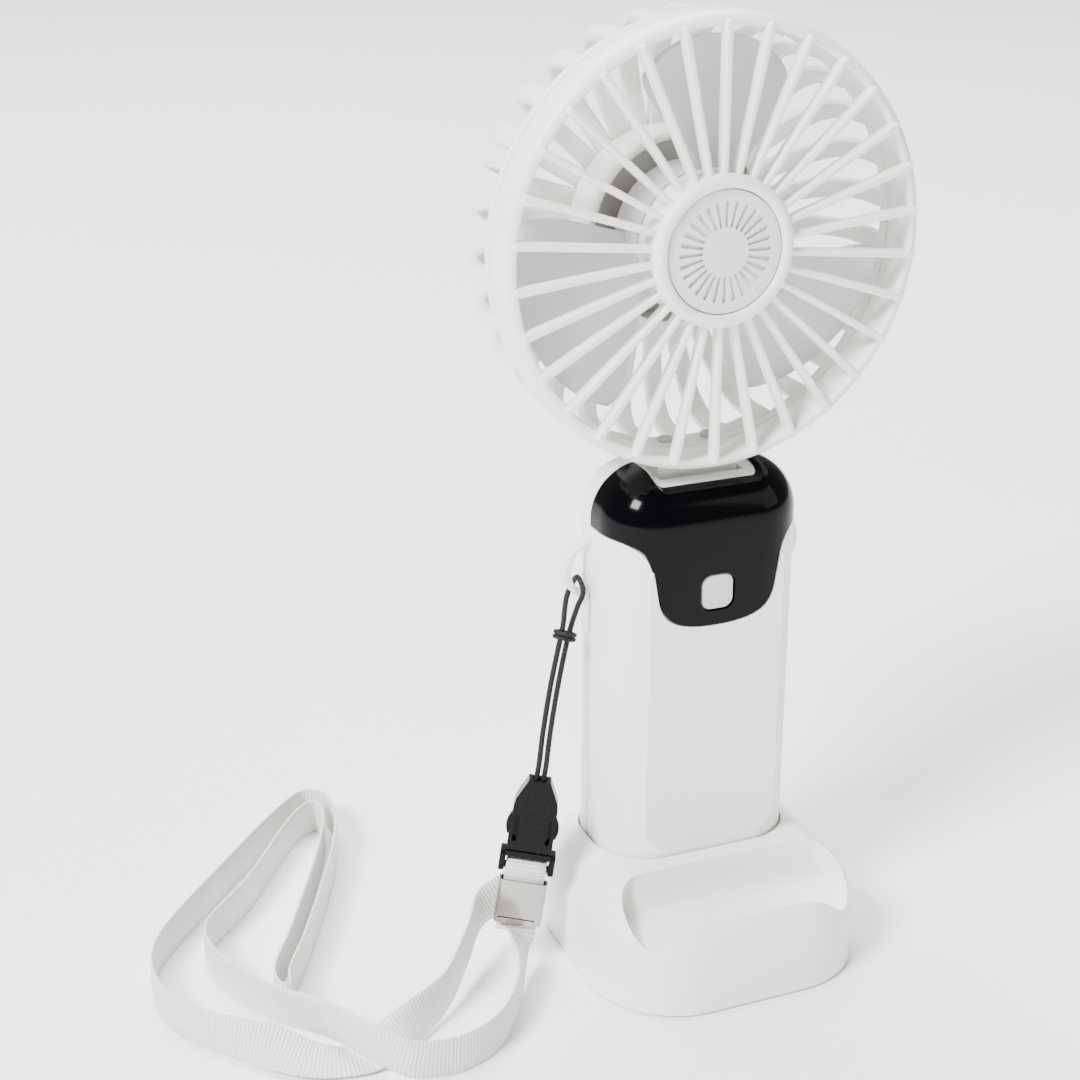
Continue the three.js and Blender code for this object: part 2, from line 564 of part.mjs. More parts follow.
// Straight front rib, lying along +X before it is turned, with a round outer end
function ribGeometry() {
  const [inner, outer] = [RIB_INNER_WIDTH / 2, RIB_OUTER_WIDTH / 2];
  const shape = new THREE.Shape();
  shape.moveTo(HUB_RADIUS - 1.2, -inner);
  shape.lineTo(RIB_REACH - outer, -outer);
  shape.absarc(RIB_REACH - outer, 0, outer, -Math.PI / 2, Math.PI / 2);
  shape.lineTo(HUB_RADIUS - 1.2, inner);
  const settings = { depth: RIB_DEPTH, bevelEnabled: false, curveSegments: 2 };
  const geometry = new THREE.ExtrudeGeometry(shape, settings);
  return geometry.rotateX(Math.PI / 2).translate(0, RIB_DEPTH, 0);
}

function buildFrontGrille(parent) {
  const ring = turned([
    [RING_INNER, RING_BACK], [RING_RADIUS - 0.2, RING_BACK], [RING_RADIUS, 5], [RING_RADIUS - 0.9, 2],
    [RING_RADIUS - 2.2, 1.2], [RING_INNER, 1.6], [RING_INNER, RING_BACK],
  ], 60);
  const recess = CAP_RADIUS + GAP;
  const seat = CAP_FRONT + CAP_THICK + GAP;
  const hub = turned([
    [0, seat], [recess, seat], [recess, CAP_FRONT - 0.2], [recess + 0.9, -1.8], [recess + 2, -1.6],
    [HUB_RADIUS, -0.4], [HUB_RADIUS - 0.3, 8], [HUB_RADIUS - 2.3, 8], [recess, seat + 1.6], [0, seat + 1.6],
  ], 36);
  const ribs = [];
  for (let i = 0; i < RIB_COUNT; i += 1) {
    ribs.push(solid(spin(ribGeometry(), ((i + 0.5) * 2 * Math.PI) / RIB_COUNT)));
  }
  add(parent, 'front_grille', join([ring, hub, ...ribs]), WHITE);
}

function buildHubCap(parent) {
  const [front, back] = [CAP_FRONT, CAP_FRONT + CAP_THICK];
  const disc = turned([
    [0, back], [CAP_RADIUS, back], [CAP_RADIUS, front + 0.3], [CAP_RADIUS - 0.4, front], [0, front],
  ], 36);
  const slots = [];
  for (let i = 0; i < CAP_SLOTS; i += 1) {
    const shape = polygon([
      [CAP_RADIUS * 0.4, -0.28], [CAP_RADIUS * 0.77, -0.55], [CAP_RADIUS * 0.8, 0],
      [CAP_RADIUS * 0.77, 0.55], [CAP_RADIUS * 0.4, 0.28],
    ]);
    const geometry = new THREE.ExtrudeGeometry(shape, { depth: 2, bevelEnabled: false });
    geometry.rotateX(Math.PI / 2).translate(0, front + 0.9, 0);
    slots.push(solid(spin(geometry, (i * 2 * Math.PI) / CAP_SLOTS)));
  }
  add(parent, 'hub_cap', cut(disc, ...slots), GREY);
}

function buildRearGrille(parent) {
  const start = RING_BACK + GAP;
  const outer = [
    [RING_RADIUS - 0.5, start], [RING_RADIUS - 0.5, PAD_BACK], [RING_RADIUS - 0.9, 24], [48.4, 28.5],
    [45.4, 32.4], [40, 34.8], [33, 35.9], [21, REAR_DEPTH + 0.8], [0, REAR_DEPTH + 0.8],
  ];
  const inner = [
    [0, REAR_DEPTH - REAR_WALL], [26, REAR_DEPTH - REAR_WALL], [37, 32.8], [43.4, 30.3], [46.6, 26.5],
    [RING_INNER, 22], [RING_INNER, start],
  ];
  const bowl = turned([...outer, ...inner, outer[0]], 60);
  const half = Math.PI / RIB_COUNT;
  const apex = PETAL_WIDTH / 2 / Math.sin(half);
  const reach = RING_RADIUS + 6;
  const spread = (reach - apex) * Math.tan(half);
  const gaps = [];
  for (let i = 0; i < RIB_COUNT; i += 1) {
    const shape = polygon([
      [apex + 3, -3 * Math.tan(half)], [reach, -spread], [reach, spread], [apex + 3, 3 * Math.tan(half)],
    ]);
    const geometry = new THREE.ExtrudeGeometry(shape, { depth: REAR_DEPTH, bevelEnabled: false });
    const angle = (i * 360) / RIB_COUNT;
    const from = Math.abs(angle - 90) < PAD_SPREAD ? PAD_BACK : BAND_BACK;
    geometry.rotateX(Math.PI / 2).translate(0, REAR_DEPTH + from, 0);
    gaps.push(solid(spin(geometry, THREE.MathUtils.degToRad(angle))));
  }
  const y = NECK_SCREW_Y - HEAD_FRONT;
  const screwHoles = NECK_SCREWS.flatMap((x) => [
    rod('z', SCREW_SHANK + HOLE_GAP, -RING_RADIUS, 0, [x, y, 0], 10),
    rod('z', SCREW_HEAD + HOLE_GAP, -RING_INNER, 0, [x, y, 0], 12),
  ]);
  const pilot = SCREW_SHANK + HOLE_GAP;
  const pilots = MOUNT_SCREWS.map(([x, h]) => rod('y', pilot, 30, REAR_DEPTH + 0.2, [x, 0, h], 10));
  add(parent, 'rear_grille', cut(bowl, join(gaps), ...screwHoles, ...pilots), WHITE);
}

// ---------------------------------------------------------------- motor and impeller
const POD_BACK = REAR_DEPTH - REAR_WALL - GAP;
const POD_FLOOR = POD_BACK - POD_WALL;
const BOSS_RADIUS = 6.5;
const MOUNT_SCREWS = [90, 210, 330].map((angle) => {
  const turn = THREE.MathUtils.degToRad(angle);
  return [12 * Math.cos(turn), 12 * Math.sin(turn)];
});

function buildMotor(parent) {
  const bore = BEARING_RADIUS + GAP;
  const bossFront = ROTOR_FRONT + ROTOR_WALL + 1.2;
  const pod = turned([
    [bore, bossFront], [BOSS_RADIUS, bossFront], [BOSS_RADIUS, POD_FLOOR],
    [POD_RADIUS - POD_WALL, POD_FLOOR], [POD_RADIUS - POD_WALL, POD_FRONT],
    [POD_RADIUS - 0.4, POD_FRONT], [POD_RADIUS, POD_FRONT + 0.6],
    [POD_RADIUS, POD_BACK], [bore, POD_BACK], [bore, bossFront],
  ], 32);
  const holes = MOUNT_SCREWS.map(([x, z]) => rod('y', SCREW_SHANK + HOLE_GAP, 20, 60, [x, 0, z], 10));
  add(parent, 'motor_mount', cut(pod, ...holes), WHITE);
  MOUNT_SCREWS.forEach(([x, z], i) => {
    addScrew(parent, `motor_mount_screw_${i + 1}`, 4.6, [x, POD_FLOOR - GAP - SCREW_HEAD_HEIGHT, z]);
  });

  const bearingPlaces = {
    motor_front_bearing: bossFront + 0.5,
    motor_rear_bearing: POD_BACK - BEARING_LENGTH - 0.5,
  };
  Object.entries(bearingPlaces).forEach(([name, from]) => {
    add(parent, name, tube(BEARING_RADIUS, SHAFT_RADIUS + GAP, from, from + BEARING_LENGTH, 20), STEEL);
  });

  const statorFront = bossFront + 1;
  const statorRadius = ROTOR_RADIUS - ROTOR_WALL - 0.7;
  const stator = tube(statorRadius, BOSS_RADIUS + GAP, statorFront, statorFront + STATOR_LENGTH, 27);
  const windows = [];
  for (let i = 0; i < 9; i += 1) {
    const geometry = new THREE.BoxGeometry(3, STATOR_LENGTH + 2, 1.6);
    geometry.translate(statorRadius - 0.6, statorFront + STATOR_LENGTH / 2, 0);
    windows.push(solid(spin(geometry, (i * 2 * Math.PI) / 9)));
  }
  add(parent, 'motor_stator', cut(stator, ...windows), COPPER);
}

const IMPELLER_BORE = ROTOR_RADIUS + GAP;

// Swept sheet from the hub to the tip: u runs round, v runs outwards, w through the thickness
function bladeGeometry() {
  const geometry = new THREE.BoxGeometry(1, 1, 1, 7, 1, 4);
  const position = geometry.getAttribute('position');
  const root = IMPELLER_HUB - 0.6;
  for (let i = 0; i < position.count; i += 1) {
    const u = position.getX(i) * 2;
    const v = position.getZ(i) + 0.5;
    const w = position.getY(i);
    const radius = root + (BLADE_TIP - root) * v * (1 - 0.1 * v ** 6 * Math.abs(u) ** 3);
    const halfAngle = THREE.MathUtils.degToRad(22 + 22 * v - 15 * v ** 3);
    const angle = u * halfAngle + 0.16 * v;
    const depth = BLADE_MIDDLE - u * (3.6 + 3.9 * v) + w * BLADE_THICK;
    position.setXYZ(i, radius * Math.cos(angle), depth, radius * Math.sin(angle));
  }
  return geometry;
}

function buildImpeller(parent) {
  const hub = turned([
    [IMPELLER_BORE, 9.6], [IMPELLER_HUB - 0.3, 9.6], [IMPELLER_HUB, 10], [IMPELLER_HUB, 21],
    [IMPELLER_BORE, 21], [IMPELLER_BORE, 9.6],
  ], 40);
  const blades = [];
  for (let i = 0; i < BLADE_COUNT; i += 1) {
    blades.push(solid(spin(bladeGeometry(), -Math.PI / 2 + 0.24 + (i * 2 * Math.PI) / BLADE_COUNT)));
  }
  const bore = rod('y', IMPELLER_BORE, 0, 40, [0, 0, 0], 40);
  add(parent, 'impeller', join([hub, ...blades]).subtract(bore), TINTED);

  const can = turned([
    [SHAFT_RADIUS + GAP, ROTOR_FRONT], [ROTOR_RADIUS - 0.6, ROTOR_FRONT], [ROTOR_RADIUS, ROTOR_FRONT + 0.6],
    [ROTOR_RADIUS, ROTOR_BACK], [ROTOR_RADIUS - ROTOR_WALL, ROTOR_BACK],
    [ROTOR_RADIUS - ROTOR_WALL, ROTOR_FRONT + ROTOR_WALL], [SHAFT_RADIUS + GAP, ROTOR_FRONT + ROTOR_WALL],
    [SHAFT_RADIUS + GAP, ROTOR_FRONT],
  ], 28);
  add(parent, 'motor_rotor', can, DARK);
  const shaft = rod('y', SHAFT_RADIUS, ROTOR_FRONT - 0.8, POD_BACK - 0.4, [0, 0, 0], 16);
  add(parent, 'motor_shaft', shaft, STEEL);
}

// ---------------------------------------------------------------- wrist strap
const BUCKLE_TOP = new THREE.Vector3(-39, 5, 47.5);
const BUCKLE_AXIS = new THREE.Vector3(7.5, 3, 37).normalize(); // from the strap up to the cord
const BUCKLE_TURN = THREE.MathUtils.degToRad(-24);
const BAR_Z = -22.2; // the plug's strap bar, below the buckle's top
const BAR_RADIUS = 0.9;
const CLAMP_TOP = -25.6;
const CLAMP_BOTTOM = -36.3;
const CLAMP_WALL = 0.5;
const STRAP_ROOM = 0.2; // extra room for the strap round the bar and in the clamp
const LAYER = (STRAP_THICK + GAP) / 2; // each strap layer's distance from the clamp's middle
const CORD_SPREAD = CORD_RADIUS + 0.2; // each strand's distance from the pair's middle
const CORD_ENTRY = 2.8; // how deep the strands reach into the buckle

const buckleFrame = new THREE.Matrix4().compose(
  BUCKLE_TOP,
  new THREE.Quaternion().setFromUnitVectors(new THREE.Vector3(0, 0, 1), BUCKLE_AXIS)
    .multiply(new THREE.Quaternion().setFromAxisAngle(new THREE.Vector3(0, 0, 1), BUCKLE_TURN)),
  new THREE.Vector3(1, 1, 1),
);
const atBuckle = (x, y, z) => new THREE.Vector3(x, y, z).applyMatrix4(buckleFrame);

// The pair of strands between the buckle and the lug, with how far each strays from the middle
const CORD_MIDDLE = [
  [-36.9, 6.4, 58, 1], [-34.2, 7.9, 70, 1], [-30.9, 9.8, 81, 1], [-30.1, 10.3, 83.2, 1.1],
];
const LUG_POINT = [-26.4, 12.65, 91.4];
const KNOT_POINT = new THREE.Vector3(-30.9, 9.8, 81);

function strand(side) {
  const across = atBuckle(1, 0, 0).sub(BUCKLE_TOP);
  const points = [-CORD_ENTRY, 1, 4].map((z) => atBuckle(side * CORD_SPREAD, 0, z));
  CORD_MIDDLE.forEach(([x, y, z, spread]) => {
    points.push(new THREE.Vector3(x, y, z).addScaledVector(across, side * spread * CORD_SPREAD));
  });
  const [x, y, z] = LUG_POINT;
  points.push(new THREE.Vector3(x - 1.6, y - 0.4 - side * 3.2, z - 3.2));
  points.push(new THREE.Vector3(x, y - side * 3.1, z));
  return points;
}

function buildCord(parent) {
  const circle = new THREE.Shape();
  circle.absarc(0, 0, CORD_RADIUS, 0, 2 * Math.PI);
  const [x, y, z] = LUG_POINT;
  const route = [...strand(1), new THREE.Vector3(x, y, z + 2.4), ...strand(-1).reverse()];
  const extrudePath = new THREE.CatmullRomCurve3(route, false, 'centripetal');
  const cord = new THREE.ExtrudeGeometry(circle, { steps: 48, extrudePath, curveSegments: 3 });
  add(parent, 'lanyard_cord', solid(cord), BRAID);

  const reach = CORD_SPREAD + CORD_RADIUS + 0.5;
  const knot = add(parent, 'lanyard_knot', turned([
    [reach, -0.9], [reach + 0.6, -0.9], [reach + 0.9, 0], [reach + 0.6, 0.9], [reach, 0.9], [reach, -0.9],
  ], 12), BRAID);
  knot.position.copy(KNOT_POINT);
  const heading = new THREE.Vector3(0.31, 0.19, 1).normalize();
  knot.quaternion.setFromUnitVectors(new THREE.Vector3(0, 1, 0), heading);
}

// Way of the strap's middle line on the ground: x, y, height of its lower edge, lean in degrees
const BACK_LEG = [
  [-53, 7.4, 9.4, 0], [-60, -0.4, 5, 0], [-69, -11, 1.8, -4], [-79, -17.6, 0.6, -22], [-85, -20.4, 0.4, -52],
  [-90, -21.6, 0.3, -80], [-97, -21.2, 0.3, -84], [-103.5, -19, 0.4, -74], [-109.5, -15.4, 0.6, -50],
  [-115.5, -11, 0.5, -24],
];
const OUTER_LOOP = [
  [-121.5, -5, 0.3, -8], [-128, 5, 0, 0], [-130.5, 18, 0, 0], [-127, 31, 0, 0], [-106, 57, 0, 0],
  [-80, 85, 0, 0], [-74.5, 88.6, 0, 0], [-70, 86, 0, 0], [-69.4, 77, 0, 0], [-74, 61, 0, 0],
  [-92.6, 22, 0, 0], [-101, 7, 0, 0], [-102.6, 1.5, 0, 0],
];
const INNER_LOOP = [
  [-104.2, 2, 0, 0], [-104.4, 8, 0, 0], [-96, 24, 0, 0], [-77, 63, 0, 0], [-72.6, 77, 0, 0],
  [-73.4, 82, 0, 0], [-78.6, 79, 0, 0], [-100, 50, 0, 0], [-115, 32, 0, 0], [-114.4, 19, 0, 0],
  [-106.6, 1, 0.6, 0],
];
const FRONT_LEG = [
  [-97.5, -14, 3.2, 0], [-91, -26, 3.2, 0], [-84, -32, 1, 0], [-72, -32.5, 0, 0], [-62, -27.5, 0, 0],
  [-53, -16, 0, 0], [-48.8, -7, 1.4, 8], [-47.2, -1.4, 4.4, 30],
];

// Sweep path that holds the strap's width along a direction given at each of its points
class StrapPath extends THREE.CatmullRomCurve3 {
  constructor(points, widths) {
    super(points, false, 'centripetal');
    this.widths = widths;
  }

  // As many sections between each two points, so the tight bends get the closest ones
  getSpacedPoints(segments) {
    return this.getPoints(segments);
  }

  computeFrenetFrames(segments) {
    const frames = { tangents: [], normals: [], binormals: [] };
    for (let i = 0; i <= segments; i += 1) {
      const tangent = this.getTangent(i / segments).normalize();
      const place = (i / segments) * (this.widths.length - 1);
      const step = Math.min(Math.floor(place), this.widths.length - 2);
      const width = this.widths[step].clone().lerp(this.widths[step + 1], place - step);
      width.addScaledVector(tangent, -width.dot(tangent)).normalize();
      frames.tangents.push(tangent);
      frames.normals.push(new THREE.Vector3().crossVectors(width, tangent));
      frames.binormals.push(width);
    }
    return frames;
  }
}

function buildStrap(parent) {
  const ground = [...BACK_LEG, ...OUTER_LOOP, ...INNER_LOOP, ...FRONT_LEG];
  const half = STRAP_WIDTH / 2;
  const edge = new THREE.Vector3(0, 0, -1);
  const points = [];
  const widths = [];
  ground.forEach(([x, y, lift, lean], i) => {
    const turn = THREE.MathUtils.degToRad(lean);
    const height = half * Math.cos(turn) + STRAP_THICK * Math.abs(Math.sin(turn));
    points.push(new THREE.Vector3(x, y, STRAP_LIFT + lift + height));
    const [ax, ay] = ground[Math.max(i - 1, 0)];
    const [bx, by] = ground[Math.min(i + 1, ground.length - 1)];
    const side = new THREE.Vector3(by - ay, ax - bx, 0).normalize();
    widths.push(edge.clone().multiplyScalar(Math.cos(turn)).addScaledVector(side, Math.sin(turn)));
  });
  const wrap = BAR_RADIUS + GAP + STRAP_THICK / 2 + STRAP_ROOM;
  const outside = LAYER + STRAP_THICK + 2 * GAP + CLAMP_WALL + STRAP_ROOM;
  const loop = [
    [-LAYER, CLAMP_BOTTOM + 1.5], [-LAYER, CLAMP_BOTTOM + 6], [-LAYER, CLAMP_TOP], [-wrap, BAR_Z],
    [0, BAR_Z + wrap], [wrap, BAR_Z], [outside + 0.4, CLAMP_TOP + 0.8], [outside + 1.6, CLAMP_TOP - 2],
  ];
  const across = atBuckle(1, 0, 0).sub(BUCKLE_TOP);
  points.unshift(...loop.map(([y, z]) => atBuckle(0, y, z)));
  widths.unshift(...loop.map(() => across));
  [CLAMP_BOTTOM - 1.5, CLAMP_BOTTOM + 3, CLAMP_TOP - 1].forEach((z) => {
    points.push(atBuckle(0, LAYER, z));
    widths.push(across);
  });
  const strip = polygon([
    [-STRAP_THICK / 2, -half], [STRAP_THICK / 2, -half], [STRAP_THICK / 2, half], [-STRAP_THICK / 2, half],
  ]);
  strip.closePath();
  const extrudePath = new StrapPath(points, widths);
  const steps = 2 * (points.length - 1);
  add(parent, 'ribbon_strap', solid(new THREE.ExtrudeGeometry(strip, { steps, extrudePath })), RIBBON);
}

const between = (a, b) => [Math.min(a, b), Math.max(a, b)];

// Side-release buckle and the strap's clamp, upright in their own frame with the cord at the top
function buildBuckle(parent) {
  const frame = new THREE.Group();
  buckleFrame.decompose(frame.position, frame.quaternion, frame.scale);
  parent.add(frame);

  const outline = polygon([
    [-2.6, 0], [-5.2, -6.2], [-5.4, -17.6], [5.4, -17.6], [5.2, -6.2], [2.6, 0],
  ]);
  const middle = box(-4.5, 4.5, -1.35, 1.35, -18, -4.6);
  const sides = box(-8, 8, -1.35, 1.35, -14.8, -8.2);
  const entry = CORD_SPREAD + CORD_RADIUS + GAP;
  const cordSlot = box(-entry, entry, -CORD_RADIUS - GAP, CORD_RADIUS + GAP, -CORD_ENTRY - GAP, 1);
  add(frame, 'buckle_socket', cut(slab(outline, -2.5, 2.5), middle, sides, cordSlot), DARK);

  const arms = [-1, 1].map((s) => slab(polygon([
    [s * 2.4, -18.2], [s * 2.4, -5.4], [s * 3.6, -5.4], [s * 4.1, -8.6], [s * 5.8, -9.8], [s * 6.3, -12],
    [s * 5.8, -14.3], [s * 4.1, -14.4], [s * 4.1, -18.2],
  ]), -1.05, 1.05));
  const yoke = box(-6.6, 6.6, -2.1, 2.1, -19.6, -17.9);
  const legs = [-1, 1].map((s) => box(...between(s * 5.2, s * 6.6), -2.1, 2.1, BAR_Z - 1, -18));
  const bar = rod('x', BAR_RADIUS, -6, 6, [0, 0, BAR_Z], 10);
  add(frame, 'buckle_plug', join([...arms, yoke, ...legs, bar]), DARK);

  const height = CLAMP_TOP - CLAMP_BOTTOM;
  const centre = (CLAMP_TOP + CLAMP_BOTTOM) / 2;
  const width = STRAP_WIDTH + 3 * GAP;
  const depth = LAYER + STRAP_THICK / 2 + GAP + STRAP_ROOM;
  const inside = box(-width / 2, width / 2, -depth, depth, CLAMP_BOTTOM - 1, CLAMP_TOP + 1);
  const outside = slab(roundedRect(width + 2 * CLAMP_WALL, height, 0.6, 0, centre), -depth - CLAMP_WALL,
    depth + CLAMP_WALL, 2);
  add(frame, 'strap_clamp', outside.subtract(inside), STEEL);
}

// ---------------------------------------------------------------- assembly
const fan = new THREE.Group();
fan.name = 'handheld_fan';
buildDock(fan);

const handle = new THREE.Group();
handle.position.y = HANDLE_Y;
fan.add(handle);
buildHandleShells(handle);
buildButton(handle);
buildElectronics(handle);
buildHingeBracket(handle);
buildNeck(handle);

const head = new THREE.Group();
head.position.set(0, HEAD_FRONT, HEAD_Z);
handle.add(head);
buildFrontGrille(head);
buildHubCap(head);
buildRearGrille(head);
buildMotor(head);
buildImpeller(head);

buildCord(fan);
buildBuckle(fan);
buildStrap(fan);

export default fan;
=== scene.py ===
"""Looks of a handheld electric fan standing in its dock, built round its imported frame.

The frame's nodes give every place. Sizes in the classes are in millimetres, as on a drawing, and
each mesh is turned to metres when its piece is finished. +Z is up and -Y is the fan's front.
"""

import json
import logging
import math
from collections.abc import Iterable, Sequence
from dataclasses import dataclass, field
from enum import Enum

import bmesh
import bpy
from mathutils import Matrix, Quaternion, Vector
from mathutils.geometry import interpolate_bezier


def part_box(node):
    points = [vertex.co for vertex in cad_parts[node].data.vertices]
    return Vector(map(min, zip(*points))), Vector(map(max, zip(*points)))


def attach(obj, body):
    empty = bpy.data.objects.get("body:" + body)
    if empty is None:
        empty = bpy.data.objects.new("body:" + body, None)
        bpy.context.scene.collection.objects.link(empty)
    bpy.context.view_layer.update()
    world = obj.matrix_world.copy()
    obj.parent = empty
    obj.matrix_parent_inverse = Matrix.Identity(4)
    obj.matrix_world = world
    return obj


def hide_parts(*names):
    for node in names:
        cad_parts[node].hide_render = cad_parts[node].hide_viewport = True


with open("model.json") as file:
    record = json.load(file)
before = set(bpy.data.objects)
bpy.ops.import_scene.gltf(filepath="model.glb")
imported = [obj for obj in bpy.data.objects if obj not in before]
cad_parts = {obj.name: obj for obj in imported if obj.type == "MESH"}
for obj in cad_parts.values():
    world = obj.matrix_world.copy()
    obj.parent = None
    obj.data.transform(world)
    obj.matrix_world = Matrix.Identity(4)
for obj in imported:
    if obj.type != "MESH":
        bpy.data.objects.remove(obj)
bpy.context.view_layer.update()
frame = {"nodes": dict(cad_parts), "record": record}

MM = 0.001
GAP = 0.3
Point = Sequence[float]
Colour = tuple[float, float, float, float]
Mesh = bmesh.types.BMesh
Object = bpy.types.Object
Material = bpy.types.Material
Tree = bpy.types.NodeTree
Socket = bpy.types.NodeSocket
log = logging.getLogger("fan")


class Body(Enum):
    """The rigid bodies that pieces ride on."""

    DOCK = "dock"
    HANDLE = "handle"
    HEAD = "head"
    ROTOR = "rotor"
    BUTTON = "button"


class Join(Enum):
    """Ways of putting two solids together."""

    ADD = "UNION"
    CUT = "DIFFERENCE"
    KEEP = "INTERSECT"


# ---------------------------------------------------------------- materials


def to_linear(code: str) -> Colour:
    """Turn an sRGB hex colour into linear light.

    Args:
        code: Colour such as "#F4F2ED".

    Returns:
        Red, green, blue and full alpha.
    """
    parts = [int(code[i : i + 2], 16) / 255 for i in (1, 3, 5)]
    red, green, blue = (p / 12.92 if p <= 0.04045 else ((p + 0.055) / 1.055) ** 2.4 for p in parts)
    return red, green, blue, 1.0


def add_node(tree: Tree, kind: str, inputs: dict | None = None, **settings) -> bpy.types.Node:
    """Add a node with its settings, values and links.

    Args:
        tree: Node tree that gets the node.
        kind: Blender's name of the node type.
        inputs: Value or linked output socket for each input socket, by name or number.
        settings: Properties of the node itself.

    Returns:
        The new node.
    """
    node = tree.nodes.new(kind)
    for name, value in settings.items():
        setattr(node, name, value)
    for key, value in (inputs or {}).items():
        if isinstance(value, Socket):
            tree.links.new(value, node.inputs[key])
        else:
            node.inputs[key].default_value = value
    return node


def start_material(name: str, constants: dict) -> tuple[Material, Tree, bpy.types.Node]:
    """Make a material that has only its shader and output.

    Args:
        name: The material's name.
        constants: Fixed values of the shader's sockets.

    Returns:
        The material, its node tree and its shader.
    """
    material = bpy.data.materials.new(name)
    material.use_nodes = True
    tree = material.node_tree
    tree.nodes.clear()
    shader = add_node(tree, "ShaderNodeBsdfPrincipled", constants)
    add_node(tree, "ShaderNodeOutputMaterial", {"Surface": shader.outputs["BSDF"]})
    return material, tree, shader


def noise(tree: Tree, place: Socket, scale: float, detail: float, roughness: float = 0.5) -> Socket:
    """Return the value of a noise texture at a place."""
    inputs = {"Vector": place, "Scale": scale, "Detail": detail, "Roughness": roughness}
    return add_node(tree, "ShaderNodeTexNoise", inputs).outputs["Fac"]


def calc(tree: Tree, operation: str, *values: Socket | float) -> Socket:
    """Return the result of a sum on sockets and numbers."""
    return add_node(tree, "ShaderNodeMath", dict(enumerate(values)), operation=operation).outputs[0]


def ramp(tree: Tree, value: Socket, source: Point, target: Point) -> Socket:
    """Return a value carried over from one range to another.

    Args:
        tree: The material's node tree.
        value: The value.
        source: Lowest and highest value that count.
        target: What they turn into.

    Returns:
        The new value.
    """
    sockets = ("Value", "From Min", "From Max", "To Min", "To Max")
    inputs = dict(zip(sockets, (value, *source, *target)))
    return add_node(tree, "ShaderNodeMapRange", inputs).outputs["Result"]


def paint(tree: Tree, shader: bpy.types.Node, factor: Socket, first: Colour, second: Colour) -> None:
    """Colour a shader between two colours by a factor."""
    mix = add_node(tree, "ShaderNodeMix", {"Factor": factor, 6: first, 7: second}, data_type="RGBA")
    tree.links.new(mix.outputs[2], shader.inputs["Base Color"])


def emboss(tree: Tree, shader: bpy.types.Node, height: Socket, strength: float, distance: float) -> None:
    """Raise and sink a shader's surface by a height."""
    inputs = {"Height": height, "Strength": strength, "Distance": distance}
    tree.links.new(add_node(tree, "ShaderNodeBump", inputs).outputs["Normal"], shader.inputs["Normal"])


@dataclass(frozen=True)
class MouldedPlastic:
    """Injection-moulded plastic: an even colour with a fine spark-eroded grain from the mould."""

    name: str
    colour: str
    roughness: float
    grain_mm: float = 0.5
    grain_depth: float = 0.06
    shade: float = 0.03
    transmission: float = 0.0
    specular: float = 0.5

    def make(self) -> Material:
        """Build the material."""
        material, tree, shader = start_material(
            self.name,
            {"IOR": 1.52, "Specular IOR Level": self.specular, "Transmission Weight": self.transmission},
        )
        place = add_node(tree, "ShaderNodeTexCoord").outputs["Object"]
        # Slow drift of tone where the plastic flowed and cooled, about 30 mm across
        drift = noise(tree, place, 1 / (30 * MM), 3.0)
        base = to_linear(self.colour)
        dark = tuple(c * (1 - self.shade) for c in base[:3]) + (1.0,)
        paint(tree, shader, drift, base, dark)
        # Mould grain, drawn coarser than the real 0.05 mm so that it shows
        grain = noise(tree, place, 1 / (self.grain_mm * MM), 2.0, 0.6)
        spread = ramp(tree, grain, (0.3, 0.7), (self.roughness * 0.85, self.roughness * 1.15))
        tree.links.new(spread, shader.inputs["Roughness"])
        emboss(tree, shader, grain, self.grain_depth, 0.1 * MM)
        return material


@dataclass(frozen=True)
class PlatedMetal:
    """Plated or brushed metal: a clean reflection broken by fine lines along one axis."""

    name: str
    colour: str
    roughness: float
    line_mm: float = 0.12
    stretch: tuple[float, float, float] = (1.0, 1.0, 0.05)

    def make(self) -> Material:
        """Build the material."""
        material, tree, shader = start_material(
            self.name, {"Base Color": to_linear(self.colour), "Metallic": 1.0}
        )
        place = add_node(tree, "ShaderNodeTexCoord").outputs["Object"]
        drawn = add_node(tree, "ShaderNodeMapping", {"Vector": place, "Scale": self.stretch})
        lines = noise(tree, drawn.outputs["Vector"], 1 / (self.line_mm * MM), 3.0)
        rough = ramp(tree, lines, (0.35, 0.65), (self.roughness * 0.7, self.roughness * 1.3))
        tree.links.new(rough, shader.inputs["Roughness"])
        emboss(tree, shader, lines, 0.08, 0.05 * MM)
        return material


@dataclass(frozen=True)
class Grosgrain:
    """Woven polyester ribbon: thick weft cords make ribs across it, between fine warp threads."""

    name: str
    colour: str
    # Colour of the painted shade in the valleys between the ribs
    valley_shade: str
    rib_mm: float = 0.9
    warp_mm: float = 0.3

    def make(self) -> Material:
        """Build the material; the UV map runs along the ribbon in metres."""
        material, tree, shader = start_material(
            self.name, {"Roughness": 0.75, "Sheen Weight": 0.3, "Sheen Roughness": 0.4}
        )
        place = add_node(tree, "ShaderNodeUVMap", uv_map="weave").outputs["UV"]
        split = add_node(tree, "ShaderNodeSeparateXYZ", {"Vector": place})
        turns = calc(tree, "MULTIPLY", split.outputs["X"], 2 * math.pi / (self.rib_mm * MM))
        rib = ramp(tree, calc(tree, "SINE", turns), (-1.0, 1.0), (0.0, 1.0))
        # Warp threads show as fine lines along the ribbon
        warp = calc(tree, "MULTIPLY", split.outputs["Y"], 2 * math.pi / (self.warp_mm * MM))
        thread = calc(tree, "MULTIPLY", calc(tree, "SINE", warp), 0.12)
        # Painted shade: the valleys between the ribs are coloured darker than the rib tops
        paint(tree, shader, rib, to_linear(self.valley_shade), to_linear(self.colour))
        emboss(tree, shader, calc(tree, "ADD", rib, thread), 0.55, 0.25 * MM)
        return material


